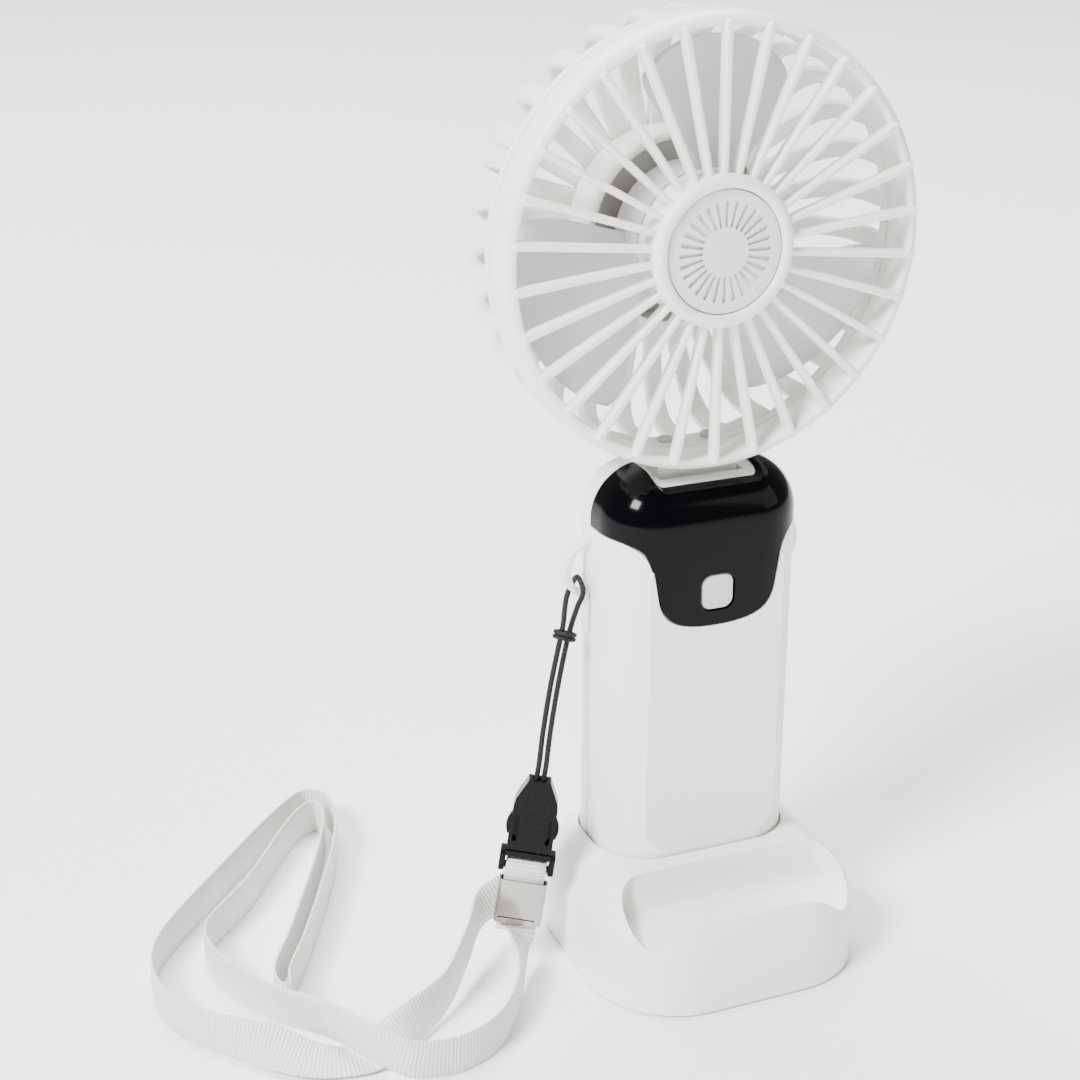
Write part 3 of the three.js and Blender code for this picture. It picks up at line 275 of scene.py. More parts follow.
@dataclass(frozen=True)
class BraidedCord:
    """Braided polyester cord: two sets of strands cross on the slant round the cord."""

    name: str
    colour: str
    glint: str
    plait_mm: float = 1.1

    def make(self) -> Material:
        """Build the material; the UV map runs along the cord in metres and once round it."""
        material, tree, shader = start_material(self.name, {"Roughness": 0.6, "Specular IOR Level": 0.3})
        place = add_node(tree, "ShaderNodeUVMap", uv_map="weave").outputs["UV"]
        split = add_node(tree, "ShaderNodeSeparateXYZ", {"Vector": place})
        along = calc(tree, "MULTIPLY", split.outputs["X"], 2 * math.pi / (self.plait_mm * MM))
        round_it = calc(tree, "MULTIPLY", split.outputs["Y"], 4 * math.pi)
        waves = [calc(tree, "SINE", calc(tree, way, along, round_it)) for way in ("ADD", "SUBTRACT")]
        lift = ramp(tree, calc(tree, "MAXIMUM", *waves), (-0.5, 1.0), (0.0, 1.0))
        paint(tree, shader, lift, to_linear(self.colour), to_linear(self.glint))
        emboss(tree, shader, lift, 0.7, 0.15 * MM)
        return material


class Finish(Enum):
    """Every finish on the fan, named for what it is made of."""

    SHELL = MouldedPlastic("moulded_abs_warm_white", "#F6F4F0", 0.36)
    CAP = MouldedPlastic("moulded_abs_cool_grey_white", "#E6E5E3", 0.4)
    COVER = MouldedPlastic(
        "polished_abs_piano_black", "#020204", 0.12, grain_mm=2.0, grain_depth=0.01, specular=0.1
    )
    BUTTON = MouldedPlastic("moulded_abs_light_grey", "#C9C9CB", 0.42)
    IMPELLER = MouldedPlastic("translucent_polypropylene_grey", "#E4E7E6", 0.36, transmission=0.3)
    DARK = MouldedPlastic("moulded_acetal_black", "#040405", 0.28, grain_depth=0.03, specular=0.14)
    RUBBER = MouldedPlastic("silicone_rubber_grey", "#77777A", 0.8, grain_mm=0.3, grain_depth=0.2)
    BOARD = MouldedPlastic("fr4_board_green", "#1F5A3A", 0.45, grain_mm=1.0, shade=0.2)
    CELL = MouldedPlastic("pvc_shrink_wrap_blue", "#3F6FAE", 0.3, grain_mm=4.0, grain_depth=0.1)
    NICKEL = PlatedMetal("nickel_plated_steel", "#A8A5A1", 0.08)
    STEEL = PlatedMetal("zinc_plated_steel", "#B4B5B8", 0.3)
    COPPER = PlatedMetal("enamelled_copper_winding", "#B5713F", 0.3, 0.25, (0.1, 1.0, 0.1))
    RIBBON = Grosgrain("grosgrain_polyester_white", "#F0EEEB", "#D2CFCB")
    BRAID = BraidedCord("braided_polyester_black", "#060607", "#19191B")


_made: dict[Finish, Material] = {}


def material_of(finish: Finish) -> Material:
    """Return a finish's material, built once.

    Args:
        finish: The finish.

    Returns:
        Its material.
    """
    if finish not in _made:
        _made[finish] = finish.value.make()
    return _made[finish]


# ---------------------------------------------------------------- mesh helpers


def box_mm(node: str) -> tuple[Vector, Vector]:
    """Return a frame node's lowest and highest corner in millimetres.

    Args:
        node: The node's name.

    Returns:
        The two corners.
    """
    low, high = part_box(node)
    return Vector(low) / MM, Vector(high) / MM


def mesh_object(bm: Mesh, name: str) -> Object:
    """Turn a bmesh into an object in the scene and free the bmesh.

    Args:
        bm: The mesh, in whatever units it has.
        name: The object's name.

    Returns:
        The object.
    """
    mesh = bpy.data.meshes.new(name)
    bm.to_mesh(mesh)
    bm.free()
    obj = bpy.data.objects.new(name, mesh)
    bpy.context.scene.collection.objects.link(obj)
    return obj


def finish_piece(
    bm: Mesh,
    name: str,
    finish: Finish,
    body: Body,
    stands_for: Iterable[str] = (),
    soften_mm: float = 0.0,
    crease: float = 34.0,
    segments: int = 2,
) -> Object:
    """Turn a bmesh in millimetres into a finished piece that rides on its body.

    Args:
        bm: The mesh, in millimetres.
        name: The piece's name.
        finish: Its finish.
        body: The body it rides on.
        stands_for: Frame nodes that it replaces.
        soften_mm: Width of the small rounding along its sharp edges.
        crease: Angle in degrees past which an edge is drawn sharp.
        segments: Steps in the small rounding.

    Returns:
        The piece.
    """
    bmesh.ops.scale(bm, vec=(MM, MM, MM), verts=bm.verts)
    for face in bm.faces:
        face.smooth = True
    for edge in bm.edges:
        edge.smooth = edge.calc_face_angle(0.0) < math.radians(crease)
    piece = mesh_object(bm, name)
    piece.data.materials.append(material_of(finish))
    if soften_mm:
        soft = piece.modifiers.new("Soft edges", "BEVEL")
        soft.width = soften_mm * MM
        soft.segments = segments
        soft.limit_method = "ANGLE"
        soft.angle_limit = math.radians(40)
        soft.harden_normals = True
    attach(piece, body.value)
    nodes = list(stands_for)
    if nodes:
        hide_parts(*nodes)
    log.info("%s: %d faces on %s", name, len(piece.data.polygons), body.value)
    return piece


def combine(base: Mesh, other: Mesh, how: Join) -> Mesh:
    """Put two solids together and free both.

    Args:
        base: First solid.
        other: Second solid.
        how: Whether the second is added, cut away or the overlap is kept.

    Returns:
        The resulting solid.
    """
    first, second = mesh_object(base, "base"), mesh_object(other, "tool")
    step = first.modifiers.new("step", "BOOLEAN")
    step.operation = how.value
    step.object = second
    step.solver = "EXACT"
    bpy.context.view_layer.update()
    mesh = bpy.data.meshes.new_from_object(first.evaluated_get(bpy.context.evaluated_depsgraph_get()))
    result = bmesh.new()
    result.from_mesh(mesh)
    for obj in (first, second):
        old = obj.data
        bpy.data.objects.remove(obj)
        bpy.data.meshes.remove(old)
    bpy.data.meshes.remove(mesh)
    bmesh.ops.dissolve_degenerate(result, dist=1e-4, edges=result.edges)
    return result


def cut(base: Mesh, *tools: Mesh) -> Mesh:
    """Cut each tool away from a solid.

    Args:
        base: The solid.
        tools: Solids to cut away, one after another.

    Returns:
        What is left.
    """
    for tool in tools:
        base = combine(base, tool, Join.CUT)
    return base


def absorb(base: Mesh, *others: Mesh) -> Mesh:
    """Put other meshes beside a mesh in one piece, as separate shells.

    Args:
        base: The mesh that grows.
        others: Meshes to take in, which are freed.

    Returns:
        The base mesh.
    """
    for other in others:
        mesh = bpy.data.meshes.new("part")
        other.to_mesh(mesh)
        other.free()
        base.from_mesh(mesh)
        bpy.data.meshes.remove(mesh)
    return base


def block(low: Point, high: Point) -> Mesh:
    """Make a plain box between two corners.

    Args:
        low: Lowest corner.
        high: Highest corner.

    Returns:
        The box.
    """
    bm = bmesh.new()
    bmesh.ops.create_cube(bm, size=1.0)
    size = [b - a for a, b in zip(low, high)]
    bmesh.ops.scale(bm, vec=size, verts=bm.verts)
    bmesh.ops.translate(bm, vec=[(a + b) / 2 for a, b in zip(low, high)], verts=bm.verts)
    return bm


def round_edges(bm: Mesh, edges: list[bmesh.types.BMEdge], radius: float, segments: int) -> None:
    """Round some edges of a mesh.

    Args:
        bm: The mesh.
        edges: The edges.
        radius: How far the rounding reaches on each side.
        segments: Steps in the rounding.
    """
    bmesh.ops.bevel(
        bm,
        geom=edges,
        offset=radius,
        offset_type="OFFSET",
        segments=segments,
        profile=0.5,
        affect="EDGES",
        material=-1,
        clamp_overlap=False,
    )


def rounded_block(
    low: Point, high: Point, corner: float, top: float = 0.0, bottom: float = 0.0, segments: int = 14
) -> Mesh:
    """Make an upright block with rounded corners and rounded ends.

    Args:
        low: Lowest corner.
        high: Highest corner.
        corner: Radius of the four upright corners.
        top: Rounding of the top edge, or 0.
        bottom: Rounding of the bottom edge, or 0.
        segments: Steps in each quarter turn.

    Returns:
        The block.
    """
    bm = block(low, high)
    upright = [e for e in bm.edges if abs((e.verts[0].co - e.verts[1].co).z) > 1e-6]
    round_edges(bm, upright, corner, segments)
    for level, radius in ((high[2], top), (low[2], bottom)):
        if radius:
            rim = [e for e in bm.edges if all(abs(v.co.z - level) < 1e-5 for v in e.verts)]
            round_edges(bm, rim, radius, segments)
    return bm


def extruded(points: Sequence[Point], shift: Point) -> Mesh:
    """Extrude a flat outline in a straight line.

    Args:
        points: Corners of the outline.
        shift: How far and which way it is drawn out.

    Returns:
        The closed solid.
    """
    bm = bmesh.new()
    face = bm.faces.new([bm.verts.new(p) for p in points])
    grown = bmesh.ops.extrude_face_region(bm, geom=[face])
    moved = [v for v in grown["geom"] if isinstance(v, bmesh.types.BMVert)]
    bmesh.ops.translate(bm, vec=shift, verts=moved)
    bmesh.ops.recalc_face_normals(bm, faces=bm.faces)
    return bm


def prism(outline: Sequence[Point], front: float, back: float) -> Mesh:
    """Extrude a front-view outline from one depth to another.

    Args:
        outline: Points (x, z) round the shape.
        front: Y of its front face.
        back: Y of its back face.

    Returns:
        The closed prism.
    """
    return extruded([(x, front, z) for x, z in outline], (0, back - front, 0))


def turned(profile: Sequence[Point], centre: Point, steps: int = 120) -> Mesh:
    """Spin a profile about a line along Y.

    Args:
        profile: Points (radius, depth); a closed profile repeats its first point.
        centre: The point on the line that depths are counted from.
        steps: Steps in the full turn.

    Returns:
        The closed turned solid.
    """
    bm = bmesh.new()
    closed = tuple(profile[0]) == tuple(profile[-1])
    points = profile[:-1] if closed else profile
    verts = [bm.verts.new((r, d, 0)) for r, d in points]
    edges = [bm.edges.new(pair) for pair in zip(verts, verts[1:])]
    if closed:
        edges.append(bm.edges.new((verts[-1], verts[0])))
    full = 2 * math.pi
    bmesh.ops.spin(
        bm, geom=verts + edges, cent=(0, 0, 0), axis=(0, 1, 0), angle=full, steps=steps, use_merge=True
    )
    bmesh.ops.remove_doubles(bm, verts=bm.verts, dist=1e-4)
    bmesh.ops.recalc_face_normals(bm, faces=bm.faces)
    bmesh.ops.translate(bm, vec=centre, verts=bm.verts)
    return bm


def repeat_round(bm: Mesh, centre: Point, count: int, start: float = 0.0) -> Mesh:
    """Copy a mesh round a line along Y.

    Args:
        bm: The first copy, drawn towards +X from the line.
        centre: A point on the line.
        count: Number of copies in all.
        start: Turn of the first copy, in degrees.

    Returns:
        The mesh with all its copies.
    """
    middle = Vector(centre)
    source = bm.verts[:] + bm.edges[:] + bm.faces[:]
    for i in range(1, count):
        copy = bmesh.ops.duplicate(bm, geom=source)["geom"]
        verts = [v for v in copy if isinstance(v, bmesh.types.BMVert)]
        turn = Matrix.Rotation(2 * math.pi * i / count, 3, "Y")
        bmesh.ops.rotate(bm, cent=middle, matrix=turn, verts=verts)
    bmesh.ops.rotate(bm, cent=middle, matrix=Matrix.Rotation(math.radians(start), 3, "Y"), verts=bm.verts)
    return bm


def arc(centre: Point, radii: Point, start: float, end: float, steps: int) -> list[tuple[float, float]]:
    """Return points along a flat elliptical arc.

    Args:
        centre: Its centre.
        radii: Its two radii.
        start: First angle in degrees.
        end: Last angle in degrees.
        steps: Steps along it.

    Returns:
        The points.
    """
    turn = [math.radians(start + (end - start) * i / steps) for i in range(steps + 1)]
    return [(centre[0] + radii[0] * math.cos(t), centre[1] + radii[1] * math.sin(t)) for t in turn]


def rounded_outline(centre: Point, size: Point, radius: float, steps: int = 8) -> list[tuple[float, float]]:
    """Return the outline of a rounded rectangle.

    Args:
        centre: Its centre.
        size: Its width and height.
        radius: Its corner radius.
        steps: Steps in each corner.

    Returns:
        The points, anticlockwise.
    """
    points: list[tuple[float, float]] = []
    half_w, half_h = size[0] / 2 - radius, size[1] / 2 - radius
    for k, (sx, sy) in enumerate(((1, 1), (-1, 1), (-1, -1), (1, -1))):
        middle = (centre[0] + sx * half_w, centre[1] + sy * half_h)
        points += arc(middle, (radius, radius), 90 * k, 90 * k + 90, steps)
    return points


def smooth_line(points: Sequence[Vector], steps: int) -> list[Vector]:
    """Return a centripetal Catmull-Rom line through some points.

    Args:
        points: The points.
        steps: Steps between each two points.

    Returns:
        The line's points.
    """
    ends = [2 * points[0] - points[1], *points, 2 * points[-1] - points[-2]]
    line: list[Vector] = []
    for a, b, c, d in zip(ends, ends[1:], ends[2:], ends[3:]):
        t1 = max((b - a).length, 1e-9) ** 0.5
        t2 = t1 + max((c - b).length, 1e-9) ** 0.5
        t3 = t2 + max((d - c).length, 1e-9) ** 0.5
        for i in range(steps):
            t = t1 + (t2 - t1) * i / steps
            ab = a * ((t1 - t) / t1) + b * (t / t1)
            bc = b * ((t2 - t) / (t2 - t1)) + c * ((t - t1) / (t2 - t1))
            cd = c * ((t3 - t) / (t3 - t2)) + d * ((t - t2) / (t3 - t2))
            abc = ab * ((t2 - t) / t2) + bc * (t / t2)
            bcd = bc * ((t3 - t) / (t3 - t1)) + cd * ((t - t1) / (t3 - t1))
            line.append(abc * ((t2 - t) / (t2 - t1)) + bcd * ((t - t1) / (t2 - t1)))
    line.append(points[-1].copy())
    return line


def sweep(sections: Sequence[Sequence[Vector]], travel: Sequence[float], rounds: Sequence[float]) -> Mesh:
    """Skin a row of like sections with closed ends and a UV map named weave.

    Args:
        sections: Points of each section, in order round it.
        travel: Distance along the piece of each section, in metres, for the map.
        rounds: Place round or across the section of each of its points, for the map.

    Returns:
        The closed skin.
    """
    bm = bmesh.new()
    layer = bm.loops.layers.uv.new("weave")
    rows = [[bm.verts.new(p) for p in section] for section in sections]
    count = len(rows[0])
    for i, (low, high) in enumerate(zip(rows, rows[1:])):
        for j in range(count):
            k = (j + 1) % count
            face = bm.faces.new((low[j], low[k], high[k], high[j]))
            across = (rounds[j], rounds[j + 1], rounds[j + 1], rounds[j])
            along = (travel[i], travel[i], travel[i + 1], travel[i + 1])
            for loop, u, v in zip(face.loops, along, across):
                loop[layer].uv = (u, v)
    bm.faces.new(rows[0][::-1])
    bm.faces.new(rows[-1])
    bmesh.ops.recalc_face_normals(bm, faces=bm.faces)
    return bm


def heading(line: Sequence[Vector], i: int) -> Vector:
    """Return the way a line runs at one of its points."""
    return (line[min(i + 1, len(line) - 1)] - line[max(i - 1, 0)]).normalized()


def distances(line: Sequence[Vector]) -> list[float]:
    """Return how far along a line each of its points lies.

    Args:
        line: The line's points, in millimetres.

    Returns:
        The distances, in metres.
    """
    gone, travel = 0.0, []
    for i, point in enumerate(line):
        gone += (point - line[max(i - 1, 0)]).length * MM
        travel.append(gone)
    return travel


# ---------------------------------------------------------------- camera, light and floor


@dataclass
class Studio:
    """White table in soft light from above and both sides, with the camera before it."""

    aim: tuple[float, float, float] = (-45.5, -10.7, 114.5)
    distance: float = 430.0
    turn: float = 22.3
    height: float = 21.5
    lens: float = 66.7

    def set_camera(self) -> None:
        """Place the camera."""
        data = bpy.data.cameras.new("camera")
        data.lens = self.lens
        data.sensor_width = 36.0
        data.clip_start = 0.01
        camera = bpy.data.objects.new("camera", data)
        camera.rotation_euler = (math.radians(90 - self.height), 0, math.radians(-self.turn))
        out = Vector((0, 0, self.distance))
        out.rotate(camera.rotation_euler)
        camera.location = (Vector(self.aim) + out) * MM
        bpy.context.scene.collection.objects.link(camera)
        bpy.context.scene.camera = camera

    def lay_floor(self) -> None:
        """Lay the table top."""
        bm = bmesh.new()
        bmesh.ops.create_grid(bm, x_segments=1, y_segments=1, size=6.0)
        floor = mesh_object(bm, "floor")
        material, tree, shader = start_material(
            "painted_table_white", {"Roughness": 0.9, "Specular IOR Level": 0.1}
        )
        place = add_node(tree, "ShaderNodeTexCoord").outputs["Object"]
        paint(tree, shader, noise(tree, place, 3.0, 2.0), to_linear("#FAFAFA"), to_linear("#F6F6F6"))
        floor.data.materials.append(material)

    def light(self) -> None:
        """Hang the soft lights and set the white surroundings."""
        world = bpy.data.worlds.new("studio")
        world.use_nodes = True
        world.node_tree.nodes["Background"].inputs["Color"].default_value = (1, 1, 1, 1)
        world.node_tree.nodes["Background"].inputs["Strength"].default_value = 0.36
        bpy.context.scene.world = world
        for name, place, size, watts in (
            ("key", (-2.2, -0.9, 2.3), 0.9, 250.0),
            ("fill", (2.4, -2.2, 1.4), 2.0, 24.0),
            ("top", (0.2, 1.1, 3.0), 2.4, 220.0),
        ):
            data = bpy.data.lights.new(name, "AREA")
            data.size = size
            data.energy = watts
            lamp = bpy.data.objects.new(name, data)
            lamp.location = place
            aim = Vector((0, 0, 0.1)) - Vector(place)
            lamp.rotation_euler = aim.to_track_quat("-Z", "Y").to_euler()
            bpy.context.scene.collection.objects.link(lamp)


# ---------------------------------------------------------------- wrist strap


@dataclass
class WristStrap:
    """Braided cord from the lug to a side-release buckle, and the ribbon loop on its clamp."""

    top: Vector = field(default_factory=lambda: Vector((-39, 5, 47.5)))
    axis: Vector = field(default_factory=lambda: Vector((7.5, 3, 37)).normalized())
    turn: float = -24.0
    bar_z: float = -22.2
    bar_radius: float = 0.9
    clamp_top: float = -25.6
    clamp_bottom: float = -36.3
    clamp_wall: float = 0.5
    ribbon_width: float = 9.6
    ribbon_thick: float = 0.6
    ribbon_lift: float = 0.15
    ribbon_room: float = 0.2
    cord_radius: float = 0.65
    cord_entry: float = 2.8
    lug_point: tuple[float, float, float] = (-26.4, 12.65, 91.4)
    knot_point: tuple[float, float, float] = (-30.9, 9.8, 81)

    def __post_init__(self) -> None:
        """Work out the buckle's own frame."""
        tilt = Vector((0, 0, 1)).rotation_difference(self.axis)
        spin = Quaternion((0, 0, 1), math.radians(self.turn))
        self.frame = Matrix.Translation(self.top) @ (tilt @ spin).to_matrix().to_4x4()
        self.across = self.at(1, 0, 0) - self.top
        self.layer = (self.ribbon_thick + GAP) / 2
        self.spread = self.cord_radius + 0.2

    def at(self, x: float, y: float, z: float) -> Vector:
        """Return the place of a point given in the buckle's frame.

        Args:
            x: Across the buckle.
            y: From its front to its back.
            z: Up towards the cord, from its top.

        Returns:
            The point in the fan's frame.
        """
        return self.frame @ Vector((x, y, z))

    def strand(self, side: int) -> list[Vector]:
        """Return one strand's points from the buckle up to the lug.

        Args:
            side: 1 for the strand in front of the lug, -1 for the one behind it.

        Returns:
            The points.
        """
        points = [self.at(side * self.spread, 0, z) for z in (-self.cord_entry, 1, 4)]
        middle = ((-36.9, 6.4, 58, 1), (-34.2, 7.9, 70, 1), (-30.9, 9.8, 81, 1), (-30.1, 10.3, 83.2, 1.1))
        for x, y, z, wide in middle:
            points.append(Vector((x, y, z)) + self.across * (side * wide * self.spread))
        x, y, z = self.lug_point
        points.append(Vector((x - 1.6, y - 0.4 - side * 3.2, z - 3.2)))
        points.append(Vector((x, y - side * 3.1, z)))
        return points

    def make_cord(self) -> None:
        """Braid the cord: up one side, through the lug's eye and down the other.
        """
        x, y, z = self.lug_point
        route = [*self.strand(1), Vector((x, y, z + 2.4)), *self.strand(-1)[::-1]]
        line = smooth_line(route, 10)
        count = 14
        turns = [2 * math.pi * k / count for k in range(count)]
        normal = self.across.copy()
        sections = []
        for i, point in enumerate(line):
            ahead = heading(line, i)
            normal = (normal - ahead * normal.dot(ahead)).normalized()
            side = ahead.cross(normal)
            spokes = (normal * math.cos(t) + side * math.sin(t) for t in turns)
            sections.append([point + spoke * self.cord_radius for spoke in spokes])
        bm = sweep(sections, distances(line), [k / count for k in range(count + 1)])
        cord = finish_piece(
            bm, "braided_cord", Finish.BRAID, Body.HANDLE, ["lanyard_cord"], crease=60
        )
        knot = self.make_knot()

    def make_knot(self) -> Object:
        """Wind the keeper knot round both strands.

        Returns:
            The knot.
        """
        inner = self.spread + self.cord_radius + 0.45
        bm = bmesh.new()
        for level in (-0.55, 0.55):
            ring = bmesh.new()
            bmesh.ops.create_circle(ring, cap_ends=False, radius=0.45, segments=12)
            upright = Matrix.Rotation(math.pi / 2, 3, "X")
            bmesh.ops.rotate(ring, cent=(0, 0, 0), matrix=upright, verts=ring.verts)
            bmesh.ops.translate(ring, vec=(inner + 0.45, 0, level), verts=ring.verts)
            bmesh.ops.spin(
                ring,
                geom=ring.verts[:] + ring.edges[:],
                cent=(0, 0, 0),
                axis=(0, 0, 1),
                angle=2 * math.pi,
                steps=32,
                use_merge=True,
            )
            bmesh.ops.recalc_face_normals(ring, faces=ring.faces)
            absorb(bm, ring)
        heading = Vector((0.31, 0.19, 1)).normalized()
        turn = Vector((0, 0, 1)).rotation_difference(heading).to_matrix().to_4x4()
        bmesh.ops.transform(bm, matrix=Matrix.Translation(Vector(self.knot_point)) @ turn, verts=bm.verts)
        layer = bm.loops.layers.uv.new("weave")
        for face in bm.faces:
            for loop in face.loops:
                loop[layer].uv = (loop.vert.co.x * MM, loop.vert.co.z * 0.2)
        return finish_piece(
            bm, "cord_knot", Finish.BRAID, Body.HANDLE, ["lanyard_knot"], crease=60
        )

    def ribbon_route(self) -> tuple[list[Vector], list[Vector]]:
        """Return the ribbon's middle line and the way its width points at each place.

        Returns:
            The points, and as many directions.
        """
        back_leg = [
            (-53, 7.4, 9.4, 0), (-60, -0.4, 5, 0), (-69, -11, 1.8, -4), (-79, -17.6, 0.6, -22),
            (-85, -20.4, 0.4, -52), (-90, -21.6, 0.3, -80), (-97, -21.2, 0.3, -84), (-103.5, -19, 0.4, -74),
            (-109.5, -15.4, 0.6, -50), (-115.5, -11, 0.5, -24),
        ]
        outer_loop = [
            (-121.5, -5, 0.3, -8), (-128, 5, 0, 0), (-130.5, 18, 0, 0), (-127, 31, 0, 0), (-106, 57, 0, 0),
            (-80, 85, 0, 0), (-74.5, 88.6, 0, 0), (-70, 86, 0, 0), (-69.4, 77, 0, 0), (-74, 61, 0, 0),
            (-92.6, 22, 0, 0), (-101, 7, 0, 0), (-102.6, 1.5, 0, 0),
        ]
        inner_loop = [
            (-104.2, 2, 0, 0), (-104.4, 8, 0, 0), (-96, 24, 0, 0), (-77, 63, 0, 0), (-72.6, 77, 0, 0),
            (-73.4, 82, 0, 0), (-78.6, 79, 0, 0), (-100, 50, 0, 0), (-115, 32, 0, 0), (-114.4, 19, 0, 0),
            (-106.6, 1, 0.6, 0),
        ]
        front_leg = [
            (-97.5, -14, 3.2, 0), (-91, -26, 3.2, 0), (-84, -32, 1, 0), (-72, -32.5, 0, 0),
            (-62, -27.5, 0, 0), (-53, -16, 0, 0), (-48.8, -7, 1.4, 8), (-47.2, -1.4, 4.4, 30),
        ]
        ground = back_leg + outer_loop + inner_loop + front_leg
        half = self.ribbon_width / 2
        points, widths = [], []
        for i, (x, y, lift, lean) in enumerate(ground):
            turn = math.radians(lean)
            height = half * math.cos(turn) + self.ribbon_thick * abs(math.sin(turn))
            points.append(Vector((x, y, self.ribbon_lift + lift + height)))
            before, after = ground[max(i - 1, 0)], ground[min(i + 1, len(ground) - 1)]
            side = Vector((after[1] - before[1], before[0] - after[0], 0)).normalized()
            widths.append(Vector((0, 0, -math.cos(turn))) + side * math.sin(turn))
        wrap = self.bar_radius + GAP + self.ribbon_thick / 2 + self.ribbon_room
        outside = self.layer + self.ribbon_thick + 2 * GAP + self.clamp_wall + self.ribbon_room
        loop = [
            (-self.layer, self.clamp_bottom + 1.5), (-self.layer, self.clamp_bottom + 6),
            (-self.layer, self.clamp_top), (-wrap, self.bar_z), (0, self.bar_z + wrap), (wrap, self.bar_z),
            (outside + 0.4, self.clamp_top + 0.8), (outside + 1.6, self.clamp_top - 2),
        ]
        tail = [self.clamp_bottom - 1.5, self.clamp_bottom + 3, self.clamp_top - 1]
        points = [self.at(0, y, z) for y, z in loop] + points + [self.at(0, self.layer, z) for z in tail]
        widths = [self.across.copy() for _ in loop] + widths + [self.across.copy() for _ in tail]
        return points, widths

    def make_ribbon(self, fittings: list[Object]) -> None:
        """Weave the ribbon along its route.

        Args:
            fittings: The pieces that go with it. Not used.
        """
        points, widths = self.ribbon_route()
        steps = 8
        line = smooth_line(points, steps)
        half_w, half_t = self.ribbon_width / 2, self.ribbon_thick / 2
        # Flat faces with a rounded selvedge along both edges
        section = [
            (-half_w + 0.15, -half_t), (-half_w / 2, -half_t), (0, -half_t), (half_w / 2, -half_t),
            (half_w - 0.15, -half_t), (half_w, -half_t / 2), (half_w, half_t / 2), (half_w - 0.15, half_t),
            (half_w / 2, half_t), (0, half_t), (-half_w / 2, half_t), (-half_w + 0.15, half_t),
            (-half_w, half_t / 2), (-half_w, -half_t / 2),
        ]
        sections = []
        for i, point in enumerate(line):
            ahead = heading(line, i)
            place = min(i / steps, len(widths) - 1.001)
            width = widths[int(place)].lerp(widths[int(place) + 1], place - int(place))
            width = (width - ahead * width.dot(ahead)).normalized()
            face = width.cross(ahead)
            sections.append([point + width * w + face * t for w, t in section])
        rounds = [w * MM for w, _ in section]
        bm = sweep(sections, distances(line), [*rounds, rounds[0]])
        ribbon = finish_piece(
            bm, "grosgrain_ribbon", Finish.RIBBON, Body.HANDLE, ["ribbon_strap"], crease=60
        )

    def place(self, bm: Mesh) -> Mesh:
        """Move a mesh from the buckle's frame to the fan's.

        Args:
            bm: The mesh.

        Returns:
            The same mesh.
        """
        bmesh.ops.transform(bm, matrix=self.frame, verts=bm.verts)
        return bm

    def make_buckle(self) -> tuple[Object, Object]:
        """Mould the two halves of the buckle.

        Returns:
            The upper and the lower half.
        """
        left = [(-2.6, 0), (-4.9, -4.8), (-5.2, -6.2), (-5.4, -17.6)]
        outline = left + [(-x, z) for x, z in left[::-1]]
        socket = prism(outline, -2.5, 2.5)
        entry = self.spread + self.cord_radius + GAP
        room = self.cord_radius + GAP
        hollow = [
            block((-4.5, -1.35, -18), (4.5, 1.35, -4.6)),
            block((-8, -1.35, -14.8), (8, 1.35, -8.2)),
            block((-entry, -room, -self.cord_entry - GAP), (entry, room, 1)),
        ]
        # Slots through the front face beside the latch arms
        for side in (-1, 1):
            slot = rounded_outline((side * 3.9, -12.2), (0.9, 6.4), 0.4, 4)
            hollow.append(prism(slot, -3, 3))
        socket = self.place(cut(socket, *hollow))
        upper = finish_piece(
            socket, "buckle_upper_half", Finish.DARK, Body.HANDLE, ["buckle_socket"],
            soften_mm=0.35,
        )
        plug = block((-6.6, -2.1, -19.6), (6.6, 2.1, -17.9))
        for side in (-1, 1):
            arm = [
                (2.4, -18.2), (2.4, -5.4), (3.6, -5.4), (4.1, -8.6), (5.6, -9.3), (6.2, -10.8),
                (6.3, -12.4), (5.8, -14.3), (4.1, -14.4), (4.1, -18.2),
            ]
            absorb(plug, prism([(side * x, z) for x, z in arm], -1.05, 1.05))
            low, high = sorted((side * 5.2, side * 6.6))
            absorb(plug, block((low, -2.1, self.bar_z - 1), (high, 2.1, -18)))
        bar = bmesh.new()
        radius = self.bar_radius
        bmesh.ops.create_cone(bar, cap_ends=True, segments=20, radius1=radius, radius2=radius, depth=12)
        across = Matrix.Rotation(math.pi / 2, 3, "Y")
        bmesh.ops.rotate(bar, cent=(0, 0, 0), matrix=across, verts=bar.verts)
        bmesh.ops.translate(bar, vec=(0, 0, self.bar_z), verts=bar.verts)
        absorb(plug, bar)
        bmesh.ops.recalc_face_normals(plug, faces=plug.faces)
        plug = self.place(plug)
        lower = finish_piece(
            plug, "buckle_lower_half", Finish.DARK, Body.HANDLE, ["buckle_plug"],
            soften_mm=0.3,
        )
        return upper, lower

    def make_clamp(self) -> Object:
        """Fold the nickel clamp round both layers of the ribbon.

        Returns:
            The clamp.
        """
        half = self.ribbon_width / 2 + 1.5 * GAP
        depth = self.layer + self.ribbon_thick / 2 + GAP + self.ribbon_room
        wall = self.clamp_wall
        middle = (self.clamp_top + self.clamp_bottom) / 2
        height = self.clamp_top - self.clamp_bottom
        outer = block(
            (-half - wall, -depth - wall, middle - height / 2),
            (half + wall, depth + wall, middle + height / 2),
        )
        upright = [e for e in outer.edges if abs((e.verts[0].co - e.verts[1].co).z) > 1e-6]
        round_edges(outer, upright, 0.9, 5)
        inner = block((-half, -depth, middle - height), (half, depth, middle + height))
        clamp = cut(outer, inner)
